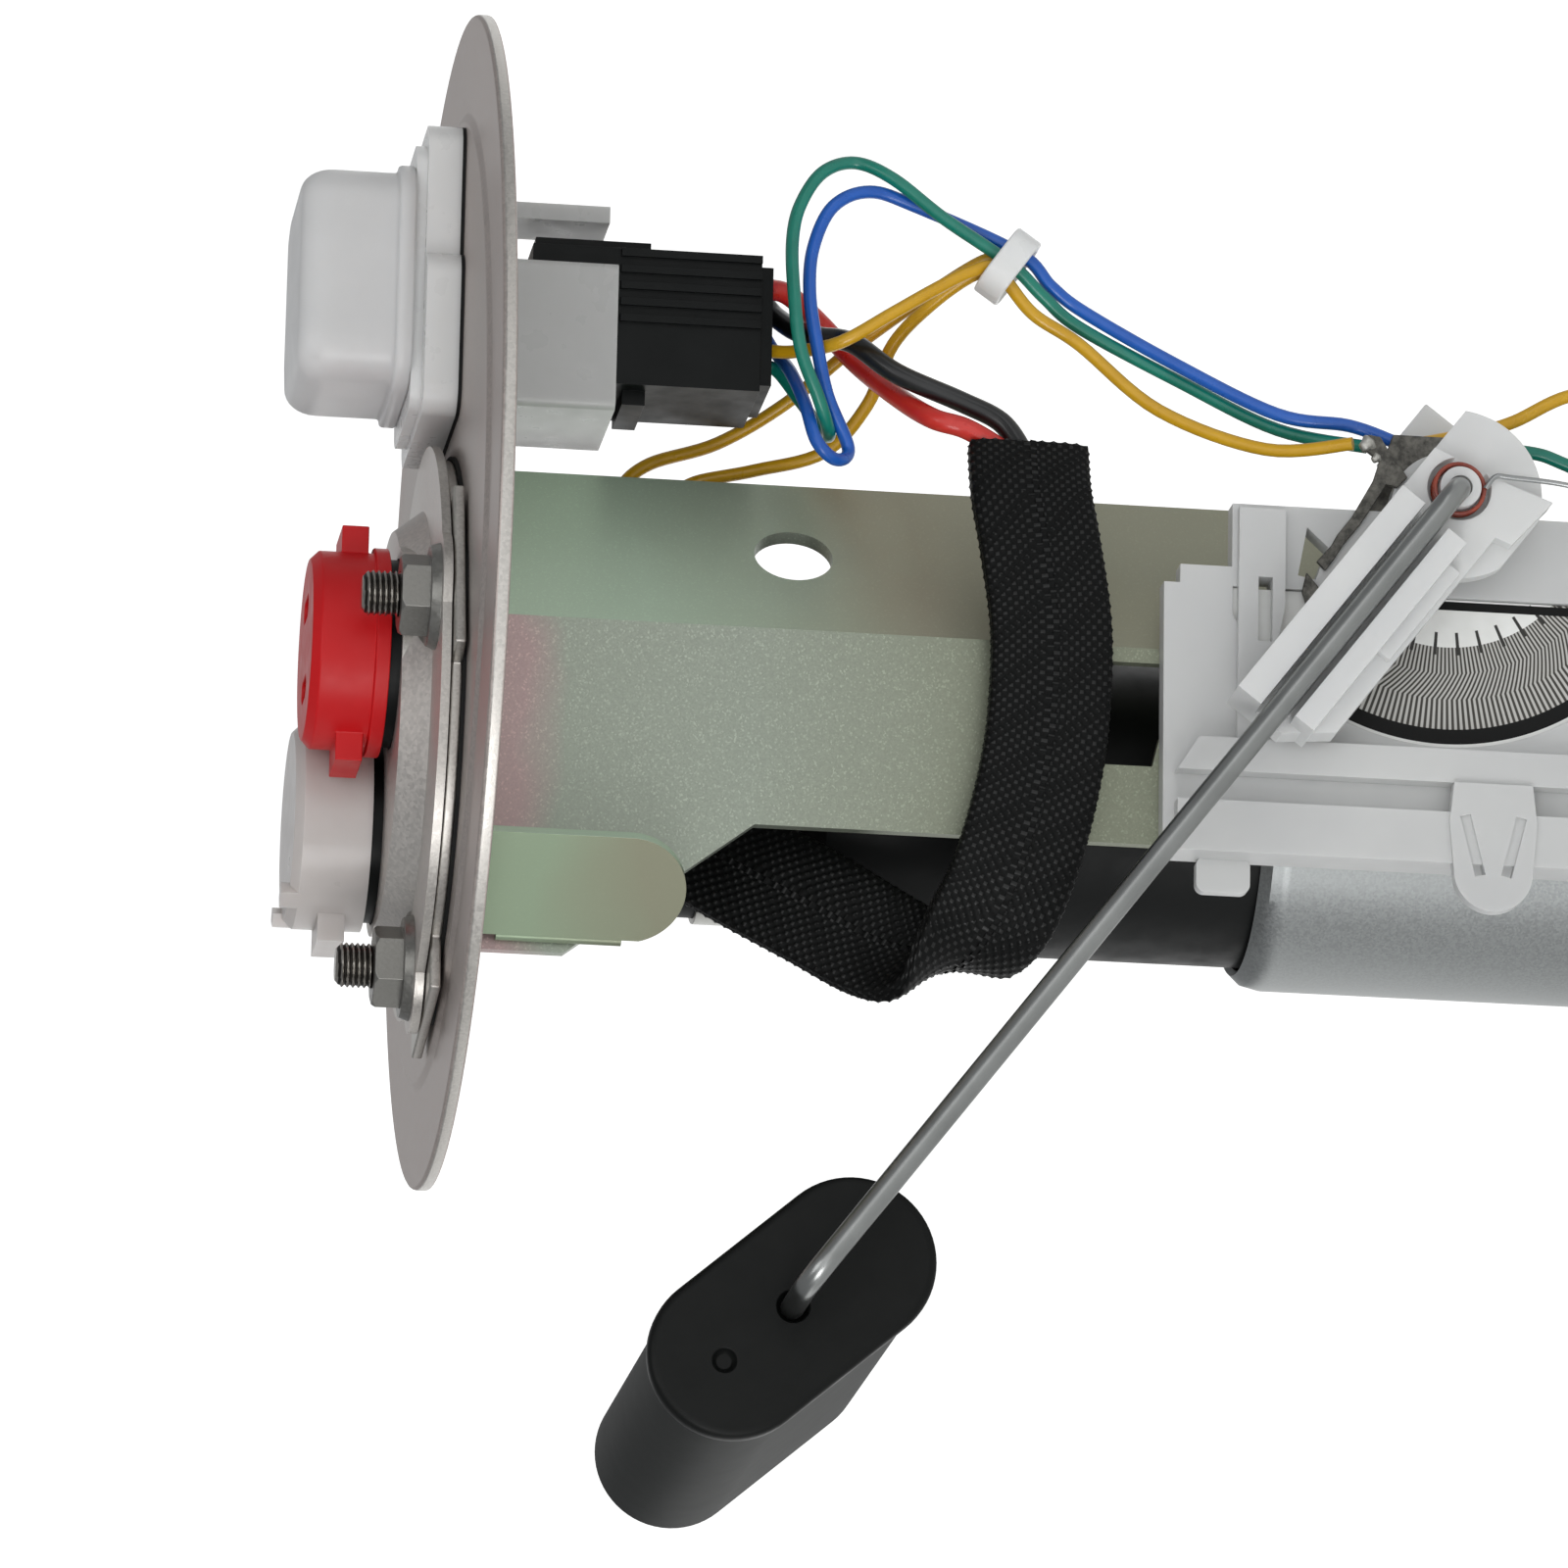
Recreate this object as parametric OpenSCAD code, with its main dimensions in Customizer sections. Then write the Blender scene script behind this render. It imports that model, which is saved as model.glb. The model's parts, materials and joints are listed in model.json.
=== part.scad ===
// In-tank fuel pump module: flange, ports, bulkhead connector, hanger bracket,
// electric pump, level sender with float, and the harness between them.
// The origin is the centre of the flange on its sealing face, +Z points out of the tank.

/* [Flange] */
// Outer diameter of the flange plate
flange_d = 132; // [130:1:136]
// Sheet thickness of the flange plate
flange_t = 1.6; // [1.4:0.1:2]
// Diameter of the raised field inside the clamping rim
field_d = 108; // [107:1:110]
// Height of the raised field above the rim
field_rise = 0.5; // [0.4:0.1:0.8]

/* [Port cover] */
// Centre of the port cover along X
cover_x = -17.5; // [-18:0.5:-17]
// Centre of the port cover along Y
cover_y = -8; // [-8.5:0.5:-7.5]
// Radius of the round part of the port cover
cover_r = 32; // [31.6:0.1:32.4]
// Sheet thickness of the port cover
cover_t = 1; // [0.8:0.1:1.2]
// Height of the dome above the rim of the cover
dome_h = 3.1; // [2.8:0.1:3.4]
// Thickness of the plate that carries the studs
stud_plate_t = 1.2; // [1:0.1:1.5]
// Thickness of the gasket under the stud plate
gasket_t = 0.4; // [0.4:0.1:0.8]
// Length of the studs above the stud plate
stud_len = 9.5; // [9:0.5:12]
// Radius of the stud thread
stud_r = 2.5; // [2.5:0.5:2.5]

/* [Ports] */
// Radius of the supply tube outside the tank
supply_tube_r = 4.75; // [4:0.25:5]
// Radius of the return tube outside the tank
return_tube_r = 4; // [3:0.25:4.5]
// Wall of both tubes
tube_wall = 1; // [0.8:0.1:1.2]
// Radius of the round collars under the caps
collar_r = 10.4; // [10:0.1:10.6]
// Height of a cap above its collar
cap_h = 8.6; // [8:0.2:10]
// Wall of the caps
cap_wall = 1.4; // [1.2:0.1:1.6]

/* [Connector] */
// Centre of the connector along X
conn_x = 32.4; // [32:0.2:33]
// Centre of the connector along Y
conn_y = -10; // [-10.5:0.5:-9.5]
// Thickness of the connector flange
conn_flange_t = 5; // [4:0.5:6]
// Height of the dust cap above the connector flange
dust_cap_h = 13.2; // [13:0.2:14]
// Depth of the connector shroud below the flange plate
shroud_h = 16; // [15:0.5:17]
// Width of a contact pin
pin_w = 1.5; // [1.2:0.1:1.8]

/* [Bracket] */
// Sheet thickness of the bracket
sheet_t = 1.6; // [1.4:0.1:1.8]
// Distance of the bracket front face from the flange axis
front_y = 24; // [24:0.5:25]
// Place of the bend between the two faces along X
bend_x = -7.5; // [-8:0.1:-7]
// Width of the front face below the bend
front_w = 22.4; // [22:0.2:23]
// Width of the leaning face above the bend
lean_w = 26.6; // [26:0.2:27]
// Angle between the two faces
lean_angle = 37.5; // [36:0.5:39]
// Width of the root of the front face at the flange
root_w = 38; // [37:0.5:39]
// Length of the bracket from the flange to its shelf
bracket_len = 172; // [171:0.5:174]
// Radius of the round hole in the leaning face
bracket_hole_r = 4.4; // [4:0.1:4.6]

/* [Pump] */
// Centre of the pump along X
pump_x = -19.3; // [-19.6:0.1:-19]
// Centre of the pump along Y
pump_y = 3; // [2.5:0.1:3.5]
// Outer radius of the pump can
can_r = 19.5; // [19.4:0.1:19.8]
// Wall of the pump can
can_wall = 1.2; // [1:0.1:1.4]
// Thickness of the rubber seat under the pump
isolator_t = 8; // [7.5:0.5:8.5]
// Length of the pump can
can_len = 73; // [72.5:0.5:74]
// Radius of the black outlet housing
outlet_r = 17; // [16.8:0.1:17.2]
// Distance of the top of the outlet housing below the flange
outlet_top = 38; // [37.5:0.5:39]
// Radius of the pump shaft
shaft_r = 1.6; // [1.5:0.1:1.8]
// Radius of the laminated rotor
rotor_r = 11.5; // [11:0.1:11.8]

/* [Level sender] */
// Place of the float arm pivot along X
pivot_x = 9.8; // [9.6:0.1:10]
// Distance of the float arm pivot below the flange
pivot_z = 107.9; // [107.5:0.1:108.5]
// Radius of the float arm wire
wire_r = 1.3; // [1.2:0.05:1.4]
// Length of the float arm from the pivot to the float axis
arm_len = 117.8; // [115:0.2:120]
// Angle of the arm above the level line in the stored pose
arm_angle = 37.2; // [36:0.2:38]
// Distance of the arm from the bracket front face
arm_gap = 14; // [14:0.1:15]
// Length of the float across its round ends
float_len = 37; // [35:0.5:38]
// Thickness of the float
float_t = 21; // [20:0.5:22]
// Depth of the float along its wire
float_depth = 60; // [55:1:62]
// Turn of the float on its wire in the stored pose
float_turn = 12.2; // [0:0.2:20]
// Distance from the arm to the face of the float
float_drop = 12; // [11:0.5:13]

/* [Leads] */
// Radius of the two pump leads
pump_lead_r = 1.2; // [1.1:0.05:1.2]
// Radius of the signal leads
signal_lead_r = 0.75; // [0.6:0.05:0.75]
// Width of the flat woven sleeve
sleeve_w = 13.6; // [12:0.2:14]
// Thickness of the flat woven sleeve
sleeve_t = 3.4; // [3.3:0.1:3.6]

/* [Hidden] */
$fn = 48;
// Clearance of a sliding or turning fit, on the radius
fit = 0.05;
// Clearance between parts that must not touch
gap = 0.3;
// Overshoot of a cutting tool
over = 1;

// Levels of the stack on top of the flange
field_top = flange_t + field_rise;
plate_z = field_top + gasket_t;
stud_z = plate_z + stud_plate_t;
rim_z = stud_z + 0.2;
rim_top = rim_z + cover_t;
dome_top = rim_top + dome_h;
collar_top = dome_top + 1.2;
nut_flange_t = 1.1;
nut_h = 4.2;

// Places of the ports, the return port first
return_x = -10.2;
return_y = -14.5;
supply_x = -26.1;
supply_y = 2.5;
PORTS = [[return_x, return_y], [supply_x, supply_y]];
cap_r = [11, 11.5];
// Places of the studs round the port cover
STUDS = [[-8.3, -32.5], [-45.3, -12.5], [-6.5, 19]];
stud_head_r = 3.7;
nut_flange_r = 5.9;
pocket_r = 6.5;
dome_x = -16;
dome_y = -4;
dome_r = 22;
boss_r = 11.9;
lobe_r = 7.2;
spigot_x = (return_x + supply_x) / 2;
spigot_y = (return_y + supply_y) / 2;
spigot_r = 7.2;
spigot_mid_r = 9;

// Connector levels and outline
conn_z = field_top + gasket_t;
conn_top = conn_z + conn_flange_t;
conn_len = 33.4;
cap_len = 24.6;
cap_w = 25;
shroud_x = conn_x - 5.7;
shroud_len = 17;
shroud_w = 18;
shroud_wall = 1.5;
shroud_z = field_rise - shroud_h;
plug_len = 33.2;
plug_x0 = 21.6;
plug_x1 = 37.4;
plug_w = shroud_w - 2 * shroud_wall - 0.2;
plug_top = -6;
PIN_X = [-5.4, -1.8, 1.8, 5.4];
PIN_Y = [-3, 3];
pin_t = 0.8;
pin_x0 = 29.5;

// Bracket
lean_dx = cos(lean_angle);
lean_dy = sin(lean_angle);
front_in = -front_y + sheet_t;
front_low = bend_x - front_w;
shelf_depth = 44;
flare_r = 3.4;
hole_s = 13.5;
hole_z = -36.2;
window_z = [-62, -77.4];
window_x = [-9.2, -21];

// Pump levels
can_bottom = bracket_len - isolator_t;
can_top = can_bottom - can_len;
outlet_h = can_top - outlet_top;
rotor_z = can_top + 22;
rotor_h = 30;
magnet_h = 36;
shaft_top = can_top - 10;
inlet_cover_t = 7;
inlet_r = 5.5;
spigot_out_r = 3.9;
plug2_x = -11.5;
plug2_y = 6.5;

// Sender
base_back = -front_y;
base_t = 3;
base_front = base_back - base_t;
card_front = base_front + 0.6;
card_t = 1;
arm_y = -front_y - arm_gap;
float_y0 = arm_y + float_drop;
bend_r = 4;
carrier_back = 30.6;
carrier_t = 5.6;

// Middle line of the woven sleeve and the direction of its width
SLEEVE = [[15, -22.6, -61.4], [9.2, -25.4, -61.4], [2.6, -27, -62.3], [-7, -27.9, -63.5], [-16.8, -28.3, -63.3],
    [-24.6, -28.3, -62.3], [-32.6, -28, -60.4], [-38.6, -26.6, -58.2], [-42.4, -23.8, -55.2], [-43.4, -20.6, -51.6],
    [-41.4, -18, -46.6], [-37.1, -15.6, -39.8], [-32, -12.6, -31.5], [-28.6, -10.9, -26.4]];
SLEEVE_W = [[0, 0, -1], [0, 0, -1], [-0.04, 0, -1], [0, 0, -1], [0, 0, -1], [0, 0, -1], [0, 0, -1],
    [-0.05, 0, -1], [0.1, 0.1, -1], [0.35, 0.12, -0.92], [0.65, 0.03, -0.76], [0.83, 0, -0.56], [0.83, -0.05, -0.56],
    [0.83, -0.05, -0.56]];
// Places where the leads enter the plug, each with the radius of its lead
LEAD_AT = [[34.9, -13, pump_lead_r], [34.9, -7, pump_lead_r], [27.7, -7, signal_lead_r], [31.3, -7, signal_lead_r],
    [27.7, -13, signal_lead_r]];
// Points on the middle lines of the leads, from the plug to their far ends
RED_IN = [[34.9, -13, -31.2], [34.9, -13, -33.2], [34.6, -12, -35.6], [32.2, -8.8, -39.8], [27.8, -9.8, -43.6], [22, -16.6, -47.6],
    [18.4, -21.4, -50.8], [17.2, -22.2, -54.4]];
RED_OUT = [[-29.6, -9.8, -20.6], [-22, -8, -16.2], [-15, -2.5, -14], [-13, 3.5, -15.5], [-13.2, 6.5, -19.5],
    [-13.2, 6.5, -25]];
BLACK_IN = [[34.9, -7, -31.2], [34.9, -7, -33.2], [33.4, -7.6, -34.6], [30.9, -10.8, -36.6], [29.1, -14.8, -38.8], [27.9, -17.2, -42.2],
    [24, -19.4, -46.9], [20.8, -20.6, -54], [18.4, -21.6, -58.4]];
BLACK_OUT = [[-27.2, -9.9, -22.3], [-19.5, -8.6, -19.8], [-12.6, -3.2, -17.6], [-9.8, 3, -18], [-9.8, 6.5, -21],
    [-9.8, 6.5, -25]];
GREEN = [[27.7, -7, -31.2], [27.7, -7, -33.2], [27.2, -7, -35], [23.5, -8.5, -37.4], [19.6, -12, -39.2], [17.4, -15.5, -39.8],
    [17.3, -18.8, -39.4], [20, -21.6, -37.9], [24.9, -23.4, -35.6], [31.7, -23.2, -34.7], [38, -21.6, -34.6],
    [42.8, -20, -35.6], [47.2, -18.6, -38.2], [48.9, -17.6, -42], [46.9, -18.8, -46.2], [42.3, -19.7, -51.9],
    [37.5, -19.7, -59.4], [34.1, -18.6, -63.5], [31.2, -17.2, -67.8], [25.6, -17.4, -79], [19.9, -19.6, -90],
    [17.5, -22.8, -99.6]];
BLUE = [[31.3, -7, -31.2], [31.3, -7, -33.2], [29.6, -6.8, -34.6], [25.6, -12.5, -35.8], [20, -18.6, -36.8], [15.2, -20.8, -37.9],
    [13.6, -19.4, -40.3], [15.6, -17.4, -41.9], [21, -19.3, -39.2], [26.6, -20.6, -37.7], [32.4, -20.6, -36.8],
    [38, -19.8, -37.2], [43.1, -19.2, -39.4], [45.4, -18.2, -43.6], [44.2, -17.6, -49], [39.1, -18.6, -60.6],
    [35.6, -18, -64.4], [33, -17.2, -68.4], [26.9, -19, -78.7], [21.2, -21.2, -89.7], [20, -22.4, -97.6],
    [18.4, -22.8, -102.4]];
YELLOW = [[27.7, -13, -31.2], [27.7, -13, -33.2], [27.2, -15, -36], [27, -20.2, -40.4], [30.5, -21.2, -46.2],
    [33.7, -20.8, -51], [36.06, -20.3, -54.94], [36.57, -19.9, -57.87], [32, -19.2, -62.1], [28.8, -18.6, -67.6], [21.4, -19.4, -76.6], [16.7, -22.4, -88.2],
    [16.8, -26.2, -97.4]];
GROUND_A = [[4.89, -10.58, -18.5], [9.6, -6.6, -18.4], [14, -1.5, -18.2], [17.4, -0.5, -21.5], [20.4, 0, -29.2],
    [24.8, -2.6, -36.6], [30.6, -7, -43.8], [35.6, -12.6, -51.4], [38.3, -17.6, -56.8], [37.9, -17.8, -58.6]];
GROUND_B = [[4.89, -10.58, -25.5], [9.6, -6.6, -25.2], [13.4, -2.6, -24.9], [15.4, -1.2, -26.8], [16.6, -3, -33.2],
    [18.3, -6, -40.6], [23.6, -8, -45.2], [30, -10.6, -47.6], [34, -14.6, -51.6], [36.7, -17.4, -55.8], [36.4, -17.9, -57.6]];
THERMISTOR_A = [[18.2, -22.6, -105.2], [20.6, -20.6, -112.5], [22.3, -20, -116.9], [25.6, -20, -123],
    [27.4, -19, -131], [24, -20, -139], [17, -24, -145.6], [11.4, -26.2, -148.6], [8.42, -22.24, -149.2]];
THERMISTOR_B = [[16.6, -22.6, -107.4], [18.6, -20.4, -113.6], [18.7, -20, -119.1], [17.5, -20, -123], [14, -20, -132],
    [14.6, -22.6, -141], [14.9, -25, -147.4], [13, -24, -150.4], [10.48, -20.66, -150.8]];

// Extrudes an outline drawn in X and Z towards the viewer, from the plane y
module front_plate(y, t) {
    translate([0, y, 0]) rotate([90, 0, 0]) linear_extrude(t) children();
}

// Rectangle with round corners, drawn about its centre
module round_rect(w, h, r) {
    square([w - 2 * r, h], center = true);
    square([w, h - 2 * r], center = true);
    for (sx = [-1, 1], sy = [-1, 1])
        translate([sx * (w / 2 - r), sy * (h / 2 - r)]) circle(r);
}

// Stadium along X, drawn about its centre
module stadium(len, w) {
    square([len - w, w], center = true);
    for (s = [-1, 1]) translate([s * (len - w) / 2, 0]) circle(d = w);
}

module tube(r_out, r_in, h) {
    difference() {
        cylinder(r = r_out, h = h);
        translate([0, 0, -over]) cylinder(r = r_in, h = h + 2 * over);
    }
}

module at_ports() {
    for (p = PORTS) translate([p[0], p[1], 0]) children();
}

module at_studs() {
    for (p = STUDS) translate([p[0], p[1], 0]) children();
}

module at_pump(z) {
    translate([pump_x, pump_y, z]) children();
}

// Frame of the float arm: local X runs along the arm, local Z towards the viewer
module arm_frame() {
    translate([pivot_x, 0, -pivot_z]) rotate([90, 0, 0]) rotate([0, 0, 180 - arm_angle]) children();
}

// Frame of the leaning face: local X runs up the face from the bend, local Y along -Z
module lean_frame() {
    translate([bend_x, -front_y, 0]) rotate([0, 0, lean_angle]) rotate([-90, 0, 0]) children();
}

// Flange and port cover

module flange_plate() {
    color("silver") difference() {
        rotate_extrude($fn = 120) polygon([
            [0, field_rise], [field_d / 2 - 1.4, field_rise], [field_d / 2 - 0.6, 0], [flange_d / 2, 0],
            [flange_d / 2, flange_t - 0.3],
            [flange_d / 2 - 0.3, flange_t], [field_d / 2 + 0.9, flange_t],
            [field_d / 2 - 0.2, field_top], [0, field_top]]);
        translate([0, 0, -over]) linear_extrude(5) spigot_outline(gap);
        translate([0, 0, -over]) linear_extrude(5) conn_hole();
    }
}

module cover_outline(r, lobe) {
    translate([cover_x, cover_y]) circle(r);
    for (p = STUDS) translate([p[0], p[1]]) circle(lobe);
}

module port_body_outline(clear) {
    translate([dome_x - 1, dome_y - 2]) circle(14.6 + clear);
    for (p = PORTS) translate([p[0], p[1]]) circle(boss_r - cover_t - 0.3 + clear);
}

module spigot_outline(clear) {
    for (p = PORTS) translate([p[0], p[1]]) circle(spigot_r + clear);
    translate([spigot_x, spigot_y]) circle(spigot_mid_r + clear);
}

module port_gasket() {
    color("#202020") translate([0, 0, field_top]) linear_extrude(gasket_t) difference() {
        cover_outline(cover_r - 1, lobe_r - 1);
        spigot_outline(gap);
    }
}

// Ear with a straight outer edge at a stud
module stud_ear(p) {
    a = atan2(p[1] - cover_y, p[0] - cover_x);
    translate([p[0], p[1]]) rotate(a) translate([-1, 0]) square([15, 21], center = true);
}

module stud_plate() {
    color("silver") difference() {
        translate([0, 0, plate_z]) linear_extrude(stud_plate_t) difference() {
            union() {
                translate([cover_x, cover_y]) circle(cover_r - 1.5);
                for (p = STUDS) stud_ear(p);
            }
            port_body_outline(0.4);
        }
        at_studs() translate([0, 0, plate_z - over]) cylinder(r = stud_r, h = 5);
        at_studs() translate([0, 0, plate_z - over]) cylinder(r = stud_head_r, h = over + 0.5);
    }
}

module cover_studs() {
    color("silver") at_studs() {
        translate([0, 0, plate_z]) cylinder(r = stud_head_r, h = 0.5);
        translate([0, 0, plate_z]) cylinder(r = stud_r, h = stud_plate_t + stud_len - 0.6);
        translate([0, 0, stud_z + stud_len - 0.6]) cylinder(r1 = stud_r, r2 = stud_r - 0.6, h = 0.6);
    }
}

module port_body() {
    color("#202020") difference() {
        union() {
            translate([0, 0, plate_z]) linear_extrude(rim_z + dome_h - 0.4 - plate_z)
                port_body_outline(0);
            at_ports() translate([0, 0, plate_z]) cylinder(r = collar_r, h = collar_top - plate_z);
            translate([0, 0, -5]) linear_extrude(plate_z + 5) spigot_outline(0);
        }
        translate([supply_x, supply_y, -6]) cylinder(r = supply_tube_r, h = 20);
        translate([return_x, return_y, -6]) cylinder(r = return_tube_r, h = 20);
    }
}

// Stepped dome over the port body, with a pocket round every nut
module dome_solid(inset, top) {
    difference() {
        union() {
            translate([dome_x, dome_y, 0]) {
                translate([0, 0, rim_top - inset]) cylinder(r1 = dome_r + 2.4 - inset, r2 = dome_r - inset, h = dome_h);
            }
            at_ports() translate([0, 0, rim_top - inset]) cylinder(r = boss_r - inset, h = dome_h);
        }
        at_studs() translate([0, 0, rim_top - over - inset]) cylinder(r = pocket_r + inset, h = dome_h + 2 * over);
    }
}

module port_cover() {
    color("silver") difference() {
        union() {
            translate([0, 0, rim_z]) linear_extrude(cover_t) cover_outline(cover_r, lobe_r);
            dome_solid(0, dome_top);
        }
        translate([0, 0, -0.001]) dome_solid(cover_t, dome_top);
        translate([0, 0, rim_z - over]) linear_extrude(over + 0.01) port_body_outline(0.3);
        at_ports() translate([0, 0, rim_z - over]) cylinder(r = collar_r + 0.2, h = dome_h + 5);
        at_studs() translate([0, 0, rim_z - over]) cylinder(r = stud_r + 0.3, h = 5);
    }
}

module cover_nuts() {
    color("silver") at_studs() translate([0, 0, rim_top]) difference() {
        union() {
            cylinder(r1 = nut_flange_r, r2 = nut_flange_r - 0.4, h = nut_flange_t);
            intersection() {
                cylinder(r = 4.62, h = nut_h, $fn = 6);
                cylinder(r1 = 8.4, r2 = 4.2, h = nut_h);
            }
        }
        translate([0, 0, -over]) cylinder(r = stud_r, h = nut_h + 2 * over);
    }
}

// Port tubes and their caps

module supply_tube() {
    color("silver") translate([supply_x, supply_y, 0]) {
        translate([0, 0, -18]) tube(supply_tube_r, supply_tube_r - tube_wall, 18 + collar_top + 6);
        translate([0, 0, -16]) tube(supply_tube_r + 0.5, supply_tube_r - tube_wall, 1.5);
    }
}

module return_tube() {
    color("silver") translate([return_x, return_y, 0]) {
        translate([0, 0, -28]) tube(return_tube_r, return_tube_r - tube_wall, 28 + collar_top + 6);
    }
}

// Cap body: a closed shell on a collar with two lugs on its rim
module cap_shell(r, tube_r, lugs) {
    difference() {
        union() {
            cylinder(r = r, h = cap_h - 1);
            translate([0, 0, cap_h - 1]) cylinder(r1 = r, r2 = r - 1, h = 1);
            for (a = lugs) rotate([0, 0, a]) translate([0, -4, 2.2]) cube([r + 2.4, 8, 3]);
        }
        translate([0, 0, -over]) cylinder(r = r - cap_wall, h = over + cap_h - cap_wall);
    }
    difference() {
        cylinder(r = tube_r + 1.6, h = cap_h - cap_wall);
        translate([0, 0, -over]) cylinder(r = tube_r + fit, h = over + cap_h - cap_wall + 0.01);
    }
}

module return_cap() {
    color("#c4222a") translate([return_x, return_y, collar_top + 0.02]) difference() {
        union() {
            cap_shell(cap_r[0], return_tube_r, [0, 180]);
            cylinder(r = cap_r[0] + 0.6, h = 1.6);
        }
        translate([0, 0, -over]) cylinder(r = cap_r[0] - cap_wall, h = over + 2);
        for (s = [-1, 1]) translate([s * 4.6, 0, cap_h - 1]) linear_extrude(2) rotate(90) stadium(6, 2.6);
    }
    color("#c4222a") translate([return_x, return_y, collar_top + 0.02])
        tube(return_tube_r + 1.6, return_tube_r + fit, 2);
}

module supply_cap() {
    color("#e6e6e2") translate([supply_x, supply_y, collar_top + 0.02]) {
        cap_shell(cap_r[1], supply_tube_r, [180]);
        for (a = [150, 210]) rotate([0, 0, a]) translate([cap_r[1] - 1.6, -1.2, cap_h - 1.2]) cube([1.6, 2.4, 2.2]);
    }
}

// Bulkhead connector

module conn_outline() {
    translate([conn_x + conn_len / 4, conn_y]) round_rect(conn_len / 2 + 2, 21.6, 3);
    translate([conn_x - conn_len / 4 + 1, conn_y]) round_rect(conn_len / 2 + 2, 27, 3);
}

// Opening in the flange for the shroud and its latch finger
module conn_hole() {
    translate([shroud_x + 4, conn_y]) round_rect(shroud_len + 9.2, shroud_w + 0.8, 2);
}

module connector_seal() {
    color("#1c1c1c") translate([0, 0, field_top]) linear_extrude(gasket_t) difference() {
        conn_outline();
        conn_hole();
    }
}

module connector_body() {
    color("#dfe2e0") difference() {
        union() {
            translate([0, 0, conn_z]) linear_extrude(conn_flange_t - 1.2) conn_outline();
            translate([conn_x, conn_y, conn_top - 1.2]) linear_extrude(1.2)
                round_rect(conn_len - 2.4, 20, 3);
            translate([conn_x, conn_y, conn_top - 0.6]) linear_extrude(10.6)
                round_rect(cap_len - 3.4, cap_w - 5.8, 3);
            translate([shroud_x, conn_y, shroud_z]) linear_extrude(conn_z - shroud_z)
                round_rect(shroud_len, shroud_w, 1);
            translate([shroud_x + shroud_len / 2 + 4.8, conn_y - 4, shroud_z + 0.6])
                cube([3.2, 8, conn_z - shroud_z - 0.6]);
        }
        translate([conn_x, conn_y, conn_z + 2]) linear_extrude(20)
            round_rect(cap_len - 5.6, cap_w - 8.8, 2);
        translate([shroud_x, conn_y, shroud_z - over]) linear_extrude(over - shroud_z - 1)
            translate([-5.4, -plug_w / 2 - 0.1]) square([20, plug_w + 0.2]);
        translate([plug_x0 - 2, conn_y - 5.2, shroud_z - over]) cube([3, 10.4, 3]);
        for (x = PIN_X, y = PIN_Y) translate([pin_x0 + x, conn_y + y, -8])
            linear_extrude(20) square([pin_w, pin_t], center = true);
    }
}

module connector_pins() {
    color("#c9a35a") for (x = PIN_X, y = PIN_Y)
        translate([pin_x0 + x, conn_y + y, -12]) linear_extrude(12 + conn_z + 9)
            square([pin_w, pin_t], center = true);
}

module connector_dust_cap() {
    color("#e4e6e4") difference() {
        union() {
            translate([conn_x, conn_y, conn_top + 0.02]) linear_extrude(2)
                round_rect(cap_len + 1.8, cap_w - 1.6, 4.4);
            translate([conn_x, conn_y, conn_top + 0.02]) linear_extrude(dust_cap_h - 2.4)
                round_rect(cap_len, cap_w - 3, 4);
            translate([conn_x, conn_y, conn_top + dust_cap_h - 2.4]) linear_extrude(1.2)
                round_rect(cap_len - 1.6, cap_w - 3.8, 3.8);
            translate([conn_x - 0.8, conn_y, conn_top + dust_cap_h - 1.2]) linear_extrude(1.2)
                round_rect(cap_len - 4.4, cap_w - 6, 3.4);
        }
        translate([conn_x, conn_y, conn_top - over]) linear_extrude(over + dust_cap_h - 1.6)
            round_rect(cap_len - 3.3, cap_w - 5.7, 3);
    }
}

module harness_plug() {
    color("#1d1d1d") difference() {
        union() {
            translate([plug_x0, conn_y - plug_w / 2, -plug_len + 1.4])
                cube([plug_x1 - plug_x0, plug_w, plug_len - 1.4 + plug_top]);
            translate([plug_x0 + 1, conn_y - plug_w / 2 + 1, -plug_len])
                cube([plug_x1 - plug_x0 - 2, plug_w - 2, 2]);
            for (i = [0:4]) translate([plug_x1 - 1 - 1.9 * i, conn_y - plug_w / 2 - 0.5, -plug_len + 1.4])
                cube([0.9, 0.6, plug_len - 1.4 + shroud_z - 0.4]);
            translate([plug_x1 - 0.1, conn_y - 4, -19.6]) cube([1.9, 8, 13]);
            translate([plug_x0 - 1.7, conn_y - 5, -19.2]) cube([1.8, 10, 2.6]);
        }
        for (x = PIN_X, y = PIN_Y) translate([pin_x0 + x, conn_y + y, -13])
            linear_extrude(10) square([pin_w + 0.4, pin_t + 0.4], center = true);
        for (p = LEAD_AT) translate([p[0], p[1], -plug_len - over]) cylinder(r = p[2] + 0.4, h = over + 2.4);
    }
}

// Bracket

module bracket_section() {
    // front face, bend and leaning face as one bent sheet
    in_x = -sheet_t * lean_dy;
    in_y = sheet_t * lean_dx;
    polygon([[bend_x - root_w, -front_y], [bend_x, -front_y],
        [bend_x + lean_w * lean_dx, -front_y + lean_w * lean_dy],
        [bend_x + lean_w * lean_dx + in_x, -front_y + lean_w * lean_dy + in_y],
        [bend_x - sheet_t * tan(lean_angle / 2), front_in], [bend_x - root_w, front_in]]);
}

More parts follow.
